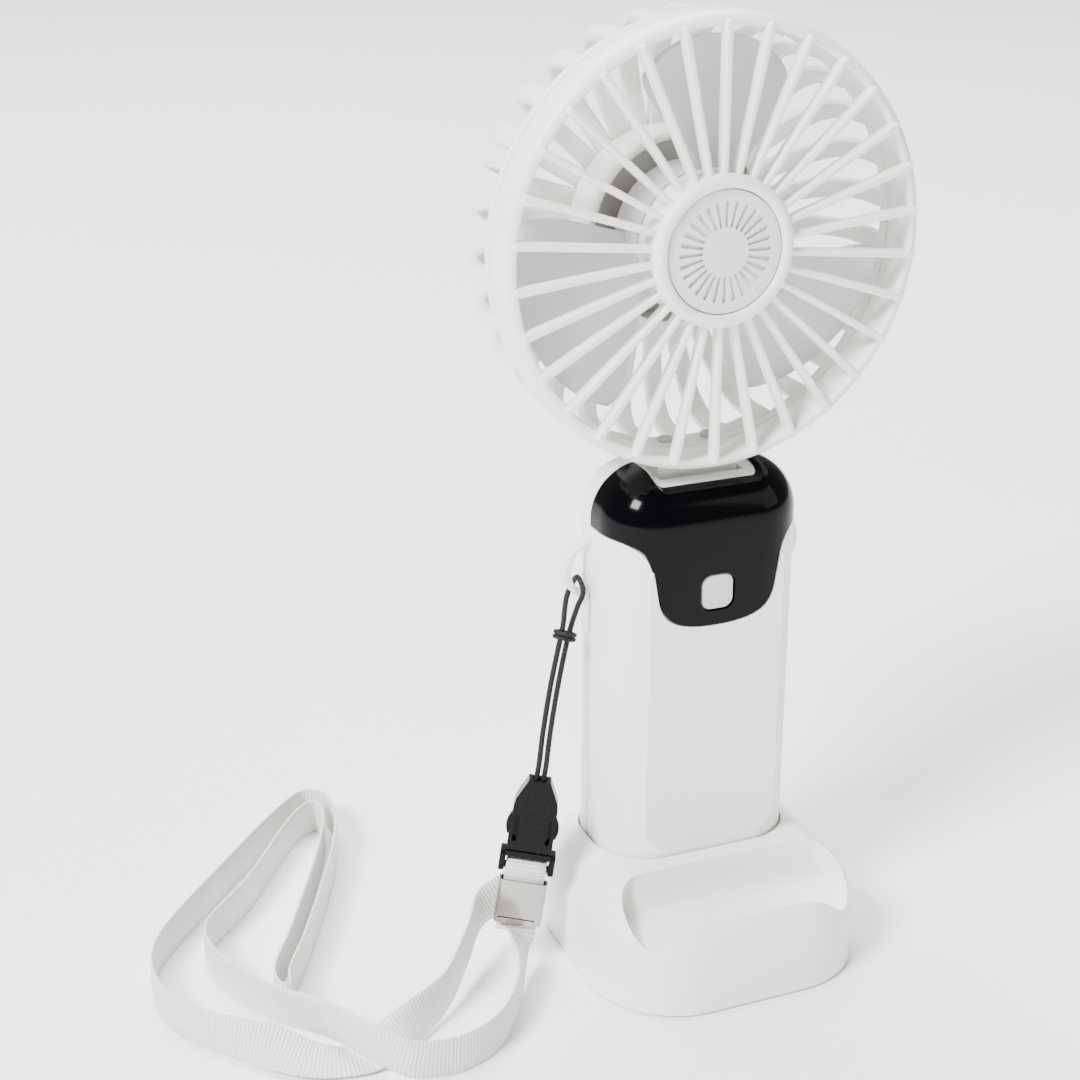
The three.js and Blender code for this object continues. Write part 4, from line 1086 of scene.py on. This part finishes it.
        # Lip folded over along the lower edge
        face = -depth - wall
        lip = block(
            (-half - 0.2, face - 0.35, self.clamp_bottom), (half - 1.2, face + 0.1, self.clamp_bottom + 1.3)
        )
        bmesh.ops.recalc_face_normals(lip, faces=lip.faces)
        absorb(clamp, lip)
        return finish_piece(
            self.place(clamp), "strap_clamp_plated", Finish.NICKEL, Body.HANDLE, ["strap_clamp"],
            soften_mm=0.15,
        )


# ---------------------------------------------------------------- dock


@dataclass
class Dock:
    """Rounded square stand with a socket for the handle and a trough for a phone."""

    corner: float = 21.0
    wall: float = 2.2
    wall_top: float = 12.0
    dome_inset: float = 11.0
    trough_length: float = 57.0
    trough_back: float = -11.8
    trough_front: float = -31.0
    crease_run: float = 3.6
    crease_z: float = 18.0
    floor_z: float = 15.2
    trough_corner: float = 9.0

    def __post_init__(self) -> None:
        """Read the dock's outside from the frame."""
        self.low, self.high = box_mm("dock_shell")

    def trough(self) -> Mesh:
        """Return the space of the phone trough.

        Returns:
            The solid to cut away.
        """
        half = self.trough_length / 2
        plan = rounded_block(
            (-half, self.trough_front, 0), (half, self.trough_back, 60), self.trough_corner, segments=10
        )
        crease = self.trough_back - self.crease_run
        side = [
            (self.trough_back, self.high.z), (crease, self.crease_z),
            (self.trough_front, self.floor_z), (self.trough_front - 9, self.floor_z - 0.3),
            (self.trough_front - 9, 60), (self.trough_back, 60),
        ]
        reach = 50
        bm = extruded([(-reach, y, z) for y, z in side], (2 * reach, 0, 0))
        fold = [
            e for e in bm.edges
            if all(abs(v.co.y - crease) < 1e-4 and abs(v.co.z - self.crease_z) < 1e-4 for v in e.verts)
        ]
        round_edges(bm, fold, 2.0, 5)
        return combine(plan, bm, Join.KEEP)

    def make(self) -> None:
        """Mould the dock's shell."""
        crown = (self.high.x, self.high.y, self.wall_top + self.dome_inset)
        shell = rounded_block(self.low, crown, self.corner, top=self.dome_inset, segments=16)
        dome = [v for v in shell.verts if v.co.z > self.wall_top]
        stretch = (self.high.z - self.wall_top) / self.dome_inset
        for vert in dome:
            vert.co.z = self.wall_top + (vert.co.z - self.wall_top) * stretch
        handle_low, handle_high = box_mm("handle_front_shell")
        half = handle_high.x + 0.5
        depth = handle_low.y - 0.5
        back = box_mm("handle_rear_shell")[1].y + 0.5
        socket = rounded_block((-half, depth, handle_low.z - 0.3), (half, back, 60), 13.5, segments=12)
        inset = self.wall
        plate_top = box_mm("dock_bottom_plate")[1].z
        under = rounded_block(
            (self.low.x + inset, self.low.y + inset, -1),
            (self.high.x - inset, self.high.y - inset, plate_top + GAP),
            self.corner - inset, segments=12,
        )
        shell = cut(shell, self.trough(), socket, under)
        finish_piece(
            shell, "dock_body", Finish.SHELL, Body.DOCK, ["dock_shell"], soften_mm=0.5,
            segments=3,
        )


# ---------------------------------------------------------------- handle


@dataclass
class Handle:
    """Two-shell handle with a gloss cover over its top front, a button and two strap lugs."""

    top: float = 121.4
    corner: float = 13.0
    end_round: float = 12.5
    wall: float = 2.2
    cover_thick: float = 1.4
    panel_width: float = 34.0
    panel_bottom: float = 29.0
    panel_corner: float = 6.0
    cover_side_z: float = 107.2
    tongue_half: float = 15.2
    tongue_bottom: float = 85.7
    lug_z: float = 96.0
    lug_reach: float = 7.3
    lug_half_height: float = 7.4
    lug_bar: float = 1.9
    saddle_floor: float = 119.0
    saddle_flat: float = 18.0
    saddle_flare: float = 4.7

    def __post_init__(self) -> None:
        """Read the handle's outside from the frame."""
        front_low, front_high = box_mm("handle_front_shell")
        rear_low, rear_high = box_mm("handle_rear_shell")
        self.half = front_high.x
        self.front = front_low.y
        self.back = rear_high.y
        self.parting = front_high.y
        self.rear_start = rear_low.y
        self.bottom = front_low.z
        self.middle = (self.front + self.back) / 2

    def body(self, inset: float) -> Mesh:
        """Return the handle's whole outside, drawn in on every side.

        Args:
            inset: How far it is drawn in.

        Returns:
            The solid.
        """
        low = (-self.half + inset, self.front + inset, self.bottom + inset)
        high = (self.half - inset, self.back - inset, self.top - inset)
        round_by = self.end_round - inset
        return rounded_block(low, high, self.corner - inset, round_by, round_by, segments=14)

    def cover_region(self, grow: float) -> Mesh:
        """Return the space in front view that the gloss cover takes.

        Args:
            grow: How far its outline is let out.

        Returns:
            The solid.
        """
        side = self.half + 20
        shoulder = self.cover_side_z - grow
        half = self.tongue_half + grow
        bottom = self.tongue_bottom - grow
        first = [
            (half + 8.3, shoulder), (half + 4.6, shoulder),
            (half + 1.4, shoulder - 2.5), (half + 0.7, shoulder - 7),
        ]
        second = [(half - 0.6, bottom + 7.5), (half - 1.6, bottom + 3), (half - 4.5, bottom), (0, bottom)]
        right: list[tuple[float, float]] = [(side, self.top + 60), (side, shoulder)]
        for knot in (first, second):
            k1, h1, h2, k2 = (Vector((x, 0, z)) for x, z in knot)
            right += [(p.x, p.z) for p in interpolate_bezier(k1, h1, h2, k2, 14)]
        left = [(-x, z) for x, z in right[:-1]][::-1]
        return prism(right + left, self.front - 20, self.parting + 8)

    def rear_half(self) -> Mesh:
        """Return the space behind the parting line."""
        return block((-60, self.parting, -10), (60, 80, 200))

    def saddle(self) -> list[Mesh]:
        """Return the channel under the head's ring and the slot for the neck.

        Returns:
            The two solids to cut away.
        """
        reach = (self.back - self.front) / 2 + 3
        flat = 6.0
        profile = [
            (-reach, self.saddle_floor - 2.5), (-flat, self.saddle_floor), (flat, self.saddle_floor),
            (reach, self.saddle_floor - 6), (reach, self.saddle_floor + 8), (-reach, self.saddle_floor + 8),
        ]
        half = self.saddle_flat / 2 + self.saddle_flare
        bm = extruded([(-half, self.middle + y, z) for y, z in profile], (2 * half, 0, 0))
        keel = [
            e for e in bm.edges
            if all(abs(abs(v.co.x) - half) < 1e-4 for v in e.verts)
            and (e.verts[0].co.x * e.verts[1].co.x > 0)
            and all(v.co.z < self.saddle_floor + 1 for v in e.verts)
        ]
        round_edges(bm, keel, 2.4, 6)
        neck_low, neck_high = box_mm("neck")
        clear = 0.6
        pin = box_mm("hinge_pin")
        slot = block(
            (neck_low.x - clear, self.middle - 6.5, (pin[0].z + pin[1].z) / 2),
            (neck_high.x + clear, self.middle + 7.9, self.top + 5),
        )
        return [bm, slot]

    def make_front(self) -> None:
        """Mould the front shell with its flat panel and the step that carries the cover."""
        skin = cut(self.body(0), self.body(self.wall))
        size = (self.panel_width, 104 - self.panel_bottom)
        outline = rounded_outline((0, self.panel_bottom + size[1] / 2), size, self.panel_corner, 10)
        panel = prism(outline, self.front, self.front + self.wall - 0.1)
        shell = combine(skin, panel, Join.ADD)
        shell = cut(shell, self.cover_region(GAP))
        deep = self.cover_thick + GAP
        shelf = combine(cut(self.body(deep), self.body(deep + 1.7)), self.cover_region(2.5), Join.KEEP)
        shell = combine(shell, shelf, Join.ADD)
        shell = cut(shell, self.rear_half(), *self.saddle())
        low, high = box_mm("power_button")
        room = rounded_outline((0, (low.z + high.z) / 2), (high.x - low.x + 1.2, high.z - low.z + 1.2), 3.5)
        shell = cut(shell, prism(room, self.front - 5, self.front + 9))
        finish_piece(
            shell, "handle_front", Finish.SHELL, Body.HANDLE, ["handle_front_shell"]
        )

    def make_cover(self) -> None:
        """Mould the gloss cover."""
        cover = combine(cut(self.body(0), self.body(self.cover_thick)), self.cover_region(0), Join.KEEP)
        cover = cut(cover, self.rear_half(), *self.saddle())
        centre, size = self.button_face()
        hole = rounded_outline(centre, (size[0] + 2 * GAP, size[1] + 2 * GAP), 2.8)
        cover = cut(cover, prism(hole, self.front - 5, self.front + 9))
        finish_piece(cover, "gloss_cover", Finish.COVER, Body.HANDLE, ["display_cover"])

    def make_rear(self) -> None:
        """Mould the rear shell with its lugs, screw wells and charging mouth."""
        shell = cut(self.body(0), self.body(self.wall))
        liner = combine(cut(self.body(self.cover_thick), self.body(self.wall + 2.2)),
                        block((-17, self.front - 5, 110.5), (17, self.back + 5, 130)), Join.KEEP)
        shell = combine(shell, liner, Join.ADD)
        shell = cut(shell, block((-60, -80, -10), (60, self.rear_start, 200)), *self.saddle())
        low, high = box_mm("usb_charging_port")
        mouth = rounded_outline(
            ((low.x + high.x) / 2, (low.z + high.z) / 2), (high.x - low.x + 0.6, high.z - low.z + 0.6), 1.85
        )
        shell = cut(shell, prism(mouth, self.back - 6, self.back + 5))
        for i in range(1, 5):
            low, high = box_mm(f"handle_screw_{i}")
            middle = ((low.x + high.x) / 2, (low.z + high.z) / 2)
            shell = cut(shell, prism(arc(middle, (2.4, 2.4), 0, 345, 23), self.back - 3, self.back + 5))
        finish_piece(
            shell, "handle_rear", Finish.SHELL, Body.HANDLE, ["handle_rear_shell"]
        )
        for side, name in ((-1, "strap_lug_left"), (1, "strap_lug_right")):
            self.make_lug(side, name)

    def make_lug(self, side: int, name: str) -> None:
        """Mould one strap lug.

        Args:
            side: -1 for the left, 1 for the right.
            name: The piece's name.
        """
        root, eye = self.half - 1, self.half + GAP
        outer = arc((root, self.lug_z), (self.lug_reach, self.lug_half_height), -90, 90, 24)
        radii = (self.lug_reach - 1 - GAP - self.lug_bar, self.lug_half_height - self.lug_bar)
        inner = arc((eye, self.lug_z), radii, 90, -90, 18)
        outline = outer + [(root, inner[0][1])] + inner + [(root, inner[-1][1])]
        outline = [(side * x, z) for x, z in outline]
        lug = prism(outline, self.rear_start, self.rear_start + 3.5)
        finish_piece(lug, name, Finish.SHELL, Body.HANDLE, soften_mm=0.6, segments=3)

    def button_face(self) -> tuple[tuple[float, float], tuple[float, float]]:
        """Return the button's face in front view.

        Returns:
            Its centre and its width and height.
        """
        low, high = box_mm("power_button")
        return (0.0, (low.z + high.z) / 2), (high.x - low.x - 2.2, high.z - low.z - 2.2)

    def make_button(self) -> None:
        """Mould the power button with its soft rim."""
        centre, size = self.button_face()
        low, high = box_mm("power_button")
        cap = prism(rounded_outline(centre, size, 2.5, 8), low.y, low.y + 1.7)
        rim = [e for e in cap.edges if all(abs(v.co.y - low.y) < 1e-4 for v in e.verts)]
        round_edges(cap, rim, 0.5, 4)
        wide = (size[0] + 2.2, size[1] + 2.2)
        flange = prism(rounded_outline(centre, wide, 3.5, 8), low.y + 1.5, low.y + 2.5)
        stem = prism(arc(centre, (1.6, 1.6), 0, 345, 23), low.y + 2.4, high.y)
        bmesh.ops.recalc_face_normals(stem, faces=stem.faces)
        absorb(cap, flange, stem)
        finish_piece(cap, "power_button_cap", Finish.BUTTON, Body.BUTTON, ["power_button"])


# ---------------------------------------------------------------- head


@dataclass
class Head:
    """Round grille with straight ribs in front, bent ones behind, and the motor at its middle."""

    ribs: int = 30
    ring_inner: float = 47.3
    rib_reach: float = 48.8
    rib_outer: float = 1.8
    rib_inner: float = 1.5
    rib_depth: float = 2.6
    hub_radius: float = 16.9
    cap_slots: int = 28
    petal_width: float = 4.3
    band_back: float = 14.0
    pad_back: float = 18.3
    pad_spread: float = 24.0
    rear_depth: float = 35.5
    rear_wall: float = 1.9

    def __post_init__(self) -> None:
        """Read the head's centre from the frame."""
        low, high = box_mm("front_grille")
        cap_low, cap_high = box_mm("hub_cap")
        self.radius = (high.x - low.x) / 2
        self.cap_radius = (cap_high.x - cap_low.x) / 2
        self.centre = Vector(((low.x + high.x) / 2, low.y + 1.8, (low.z + high.z) / 2))
        self.cap_front = cap_low.y - self.centre.y
        self.cap_back = cap_high.y - self.centre.y
        self.ring_back = high.y - self.centre.y

    def make_front(self) -> None:
        """Mould the front ring, ribs and hub cup."""
        inner, radius = self.ring_inner, self.radius
        ring = turned(
            [
                (inner, self.ring_back), (radius - 0.4, self.ring_back),
                (radius - 0.15, self.ring_back - 0.3), (radius, 8), (radius, 5), (radius - 0.2, 3.6),
                (radius - 0.55, 2.6), (radius - 1.1, 1.85), (radius - 1.9, 1.35), (radius - 2.6, 1.25),
                (inner + 0.25, 1.4), (inner, 1.7), (inner, self.ring_back),
            ],
            self.centre, 180,
        )
        start = self.hub_radius - 1.2
        rib = block((start, 0, -self.rib_outer / 2), (self.rib_reach, self.rib_depth, self.rib_outer / 2))
        for vert in rib.verts:
            if vert.co.x < start + 1:
                vert.co.z *= self.rib_inner / self.rib_outer
        tip = [e for e in rib.edges if all(v.co.x > self.rib_reach - 0.01 for v in e.verts)
               and abs(e.verts[0].co.y - e.verts[1].co.y) > 1]
        round_edges(rib, tip, self.rib_outer / 2 - 0.02, 6)
        face = [
            e for e in rib.edges
            if all(v.co.y < 0.001 for v in e.verts) and not all(v.co.x < start + 1 for v in e.verts)
        ]
        round_edges(rib, face, 0.6, 4)
        bmesh.ops.translate(rib, vec=self.centre, verts=rib.verts)
        bmesh.ops.recalc_face_normals(rib, faces=rib.faces)
        ribs = repeat_round(rib, self.centre, self.ribs, 180 / self.ribs)
        recess = self.cap_radius + GAP
        seat = self.cap_back + GAP
        hub = turned(
            [
                (0, seat), (recess, seat), (recess, self.cap_front - 0.1), (recess + 0.2, -1.4),
                (recess + 0.6, -1.72), (recess + 1.3, -1.8), (recess + 1.9, -1.65), (recess + 2.5, -1.2),
                (self.hub_radius - 0.1, -0.6), (self.hub_radius, 0.4), (self.hub_radius - 0.3, 8),
                (self.hub_radius - 2.3, 8), (recess, seat + 1.6), (0, seat + 1.6),
            ],
            self.centre, 144,
        )
        finish_piece(
            absorb(ring, ribs, hub), "grille_front", Finish.SHELL, Body.HEAD,
            ["front_grille"], crease=50,
        )

    def make_cap(self) -> None:
        """Mould the hub cap and its ring of grooves."""
        radius, front, back = self.cap_radius, self.cap_front, self.cap_back
        cap = turned(
            [
                (0, back), (radius, back), (radius, front + 0.35), (radius - 0.12, front + 0.1),
                (radius - 0.4, front), (0, front),
            ],
            self.centre, 144,
        )
        half_in, half_out = 0.3, 0.55
        inner, outer = radius * 0.4, radius * 0.78
        outline = [(inner, -half_in), (outer, -half_out)]
        outline += arc((outer, 0), (half_out, half_out), -75, 75, 6)
        outline += [(outer, half_out), (inner, half_in)]
        groove = prism([(x + self.centre.x, z + self.centre.z) for x, z in outline],
                       self.centre.y + front - 1, self.centre.y + front + 0.9)
        grooves = repeat_round(groove, self.centre, self.cap_slots)
        cap = combine(cap, grooves, Join.CUT)
        finish_piece(cap, "hub_cap_grooved", Finish.CAP, Body.HEAD, ["hub_cap"])

    def make_rear(self) -> None:
        """Mould the rear grille: a band, bent ribs and a plain disc."""
        start = self.ring_back + GAP
        inner = self.ring_inner
        outer = self.radius - 0.5
        depth = self.rear_depth
        back = self.band_back
        band = turned(
            [
                (inner, start), (outer - 0.3, start), (outer, start + 0.3), (outer, back - 0.7),
                (outer - 0.25, back - 0.1), (outer - 0.6, back), (inner, back), (inner, start),
            ],
            self.centre, 180,
        )
        # Deeper part of the band where it stands on the neck
        joint = back - 0.5
        pad = turned(
            [(inner, joint), (outer, joint), (outer, self.pad_back), (inner, self.pad_back), (inner, joint)],
            self.centre, 180,
        )
        reach = outer * math.sin(math.radians(self.pad_spread))
        under = block((self.centre.x - reach, -100, 0), (self.centre.x + reach, 100, self.centre.z - 30))
        pad = combine(pad, under, Join.KEEP)
        outside = [
            (outer - 0.02, back - 0.4), (49.8, 21), (49.6, 24), (49.2, 26.4), (48.4, 28.5),
            (47.2, 30.6), (45.4, 32.4), (43, 33.8), (40, 34.8), (36.5, 35.5), (33, 35.9),
            (27, 36.15), (21, depth + 0.77),
        ]
        inside = [
            (20, depth - 1.6), (26, depth - 1.9), (32, 33.4), (37, 32.8), (40.6, 31.8), (43.4, 30.3),
            (45.3, 28.6), (46.6, 26.5), (inner + 0.02, 22), (inner + 0.02, back - 0.4),
        ]
        half = self.petal_width / 2
        petal = extruded([(x, y, -half) for x, y in outside + inside], (0, 0, 2 * half))
        rim = [e for e in petal.edges if abs(e.verts[0].co.z - e.verts[1].co.z) < 1e-5]
        round_edges(petal, rim, 0.75, 4)
        bmesh.ops.translate(petal, vec=self.centre, verts=petal.verts)
        petals = repeat_round(petal, self.centre, self.ribs, 180 / self.ribs)
        disc = turned(
            [
                (0, depth - self.rear_wall), (21.2, depth - self.rear_wall), (21.4, depth - 1.5),
                (21.4, depth + 0.4), (21.1, depth + 0.72), (20.6, depth + 0.8), (0, depth + 0.8),
            ],
            self.centre, 120,
        )
        finish_piece(
            absorb(band, pad, petals, disc), "grille_rear", Finish.SHELL, Body.HEAD,
            ["rear_grille"], crease=50,
        )

    def make_pod(self) -> None:
        """Mould the motor's cup."""
        low, high = box_mm("motor_mount")
        front, back = low.y - self.centre.y, high.y - self.centre.y
        rim = 21.5
        radius = (high.x - low.x) / 2
        pod = turned(
            [
                (4.3, front), (6.5, front), (6.5, back - 1.6), (radius - 2.2, back - 1.6),
                (radius - 1.6, back - 2.4), (radius - 1.6, rim + 0.1), (radius - 1.3, rim),
                (radius - 0.6, rim), (radius - 0.1, rim + 0.35), (radius, rim + 0.8),
                (radius, back - 0.8), (radius - 0.8, back), (4.3, back), (4.3, front),
            ],
            self.centre, 120,
        )
        finish_piece(pod, "motor_cup", Finish.SHELL, Body.HEAD, ["motor_mount"])


@dataclass
class Impeller:
    """Three broad blades on a hub ring that fits over the motor's can."""

    blades: int = 3
    tip: float = 44.5
    thick: float = 1.5
    middle: float = 14.3
    hub: float = 16.5
    bore: float = 14.7

    def __post_init__(self) -> None:
        """Read the spin line from the frame."""
        low, high = box_mm("motor_shaft")
        grille = box_mm("front_grille")[0]
        self.centre = Vector(((low.x + high.x) / 2, grille.y + 1.8, (low.z + high.z) / 2))

    def blade(self) -> Mesh:
        """Return one blade, drawn towards +X.

        Returns:
            The closed blade.
        """
        bm = bmesh.new()
        bmesh.ops.create_grid(bm, x_segments=28, y_segments=18, size=0.5)
        root = self.hub - 0.6
        for vert in bm.verts:
            u, v = vert.co.x * 2, vert.co.y + 0.5
            radius = root + (self.tip - root) * v * (1 - 0.1 * v**6 * abs(u) ** 3)
            reach = math.radians(22 + 22 * v - 15 * v**3)
            angle = u * reach + 0.16 * v
            depth = self.middle - u * (3.6 + 3.9 * v)
            vert.co = Vector((radius * math.cos(angle), depth, radius * math.sin(angle)))
        bmesh.ops.recalc_face_normals(bm, faces=bm.faces)
        bmesh.ops.translate(bm, vec=(0, -self.thick / 2, 0), verts=bm.verts)
        bmesh.ops.solidify(bm, geom=bm.faces[:], thickness=self.thick)
        bmesh.ops.recalc_face_normals(bm, faces=bm.faces)
        return bm

    def make(self) -> None:
        """Mould the impeller."""
        blade = self.blade()
        bmesh.ops.translate(blade, vec=self.centre, verts=blade.verts)
        blades = repeat_round(blade, self.centre, self.blades, -90 + math.degrees(0.24))
        hub = turned(
            [
                (self.bore, 9.7), (self.bore + 0.3, 9.6), (self.hub - 0.4, 9.6), (self.hub - 0.1, 9.75),
                (self.hub, 10.1), (self.hub, 20.8), (self.hub - 0.2, 21), (self.bore, 21), (self.bore, 9.7),
            ],
            self.centre, 120,
        )
        finish_piece(
            absorb(hub, blades), "impeller_moulding", Finish.IMPELLER, Body.ROTOR,
            ["impeller"], soften_mm=0.25,
        )


# ---------------------------------------------------------------- frame nodes that stay


@dataclass
class KeptNodes:
    """Finishes and smooth shading for the frame's own solids."""

    finishes: dict[str, Finish] = field(
        default_factory=lambda: {
            "white_plastic": Finish.SHELL, "gloss_black": Finish.COVER, "grey_plastic": Finish.BUTTON,
            "tinted_plastic": Finish.IMPELLER, "black_plastic": Finish.DARK, "steel": Finish.STEEL,
            "copper": Finish.COPPER, "circuit_board": Finish.BOARD, "cell_wrap": Finish.CELL,
            "rubber_feet": Finish.RUBBER, "ribbon": Finish.RIBBON, "braid": Finish.BRAID,
        }
    )

    def smoothing(self) -> Tree:
        """Build the modifier group that smooths shallow edges and keeps sharp ones.

        Returns:
            The node group.
        """
        tree = bpy.data.node_groups.new("Smooth shallow edges", "GeometryNodeTree")
        tree.interface.new_socket("Geometry", in_out="INPUT", socket_type="NodeSocketGeometry")
        tree.interface.new_socket("Geometry", in_out="OUTPUT", socket_type="NodeSocketGeometry")
        start = add_node(tree, "NodeGroupInput")
        merged = add_node(
            tree, "GeometryNodeMergeByDistance", {"Geometry": start.outputs[0], "Distance": 1e-6}
        )
        smooth = add_node(
            tree,
            "GeometryNodeSetShadeSmooth",
            {"Geometry": merged.outputs[0], "Shade Smooth": True},
            domain="FACE",
        )
        angle = add_node(tree, "GeometryNodeInputMeshEdgeAngle")
        sharp = add_node(
            tree, "FunctionNodeCompare", {0: angle.outputs["Unsigned Angle"], 1: math.radians(34)},
            operation="GREATER_THAN",
        )
        creased = add_node(
            tree,
            "GeometryNodeSetShadeSmooth",
            {"Geometry": smooth.outputs[0], "Selection": sharp.outputs[0], "Shade Smooth": False},
            domain="EDGE",
        )
        add_node(tree, "NodeGroupOutput", {0: creased.outputs[0]})
        return tree

    def dress(self) -> None:
        """Give every frame node its finish and smooth shading."""
        group = self.smoothing()
        slots = {s["node"]: s["material_slot"] for s in frame["record"]["subparts"]}
        for name, node in frame["nodes"].items():
            material = material_of(self.finishes[slots[name]])
            node.data.materials.clear()
            node.data.materials.append(material)
            node.modifiers.new("Smooth shallow edges", "NODES").node_group = group
        log.info("dressed %d frame nodes", len(frame["nodes"]))


def main() -> None:
    """Build the whole scene in order."""
    logging.basicConfig(level=logging.INFO, format="%(name)s: %(message)s")
    studio = Studio()
    studio.set_camera()
    strap = WristStrap()
    upper_half, lower_half = strap.make_buckle()
    strap.make_cord()
    strap.make_ribbon([strap.make_clamp(), lower_half])
    KeptNodes().dress()
    Dock().make()
    handle = Handle()
    handle.make_front()
    handle.make_cover()
    handle.make_rear()
    handle.make_button()
    head = Head()
    head.make_front()
    head.make_cap()
    head.make_rear()
    head.make_pod()
    Impeller().make()
    studio.lay_floor()
    studio.light()


if __name__ == "__main__":
    main()
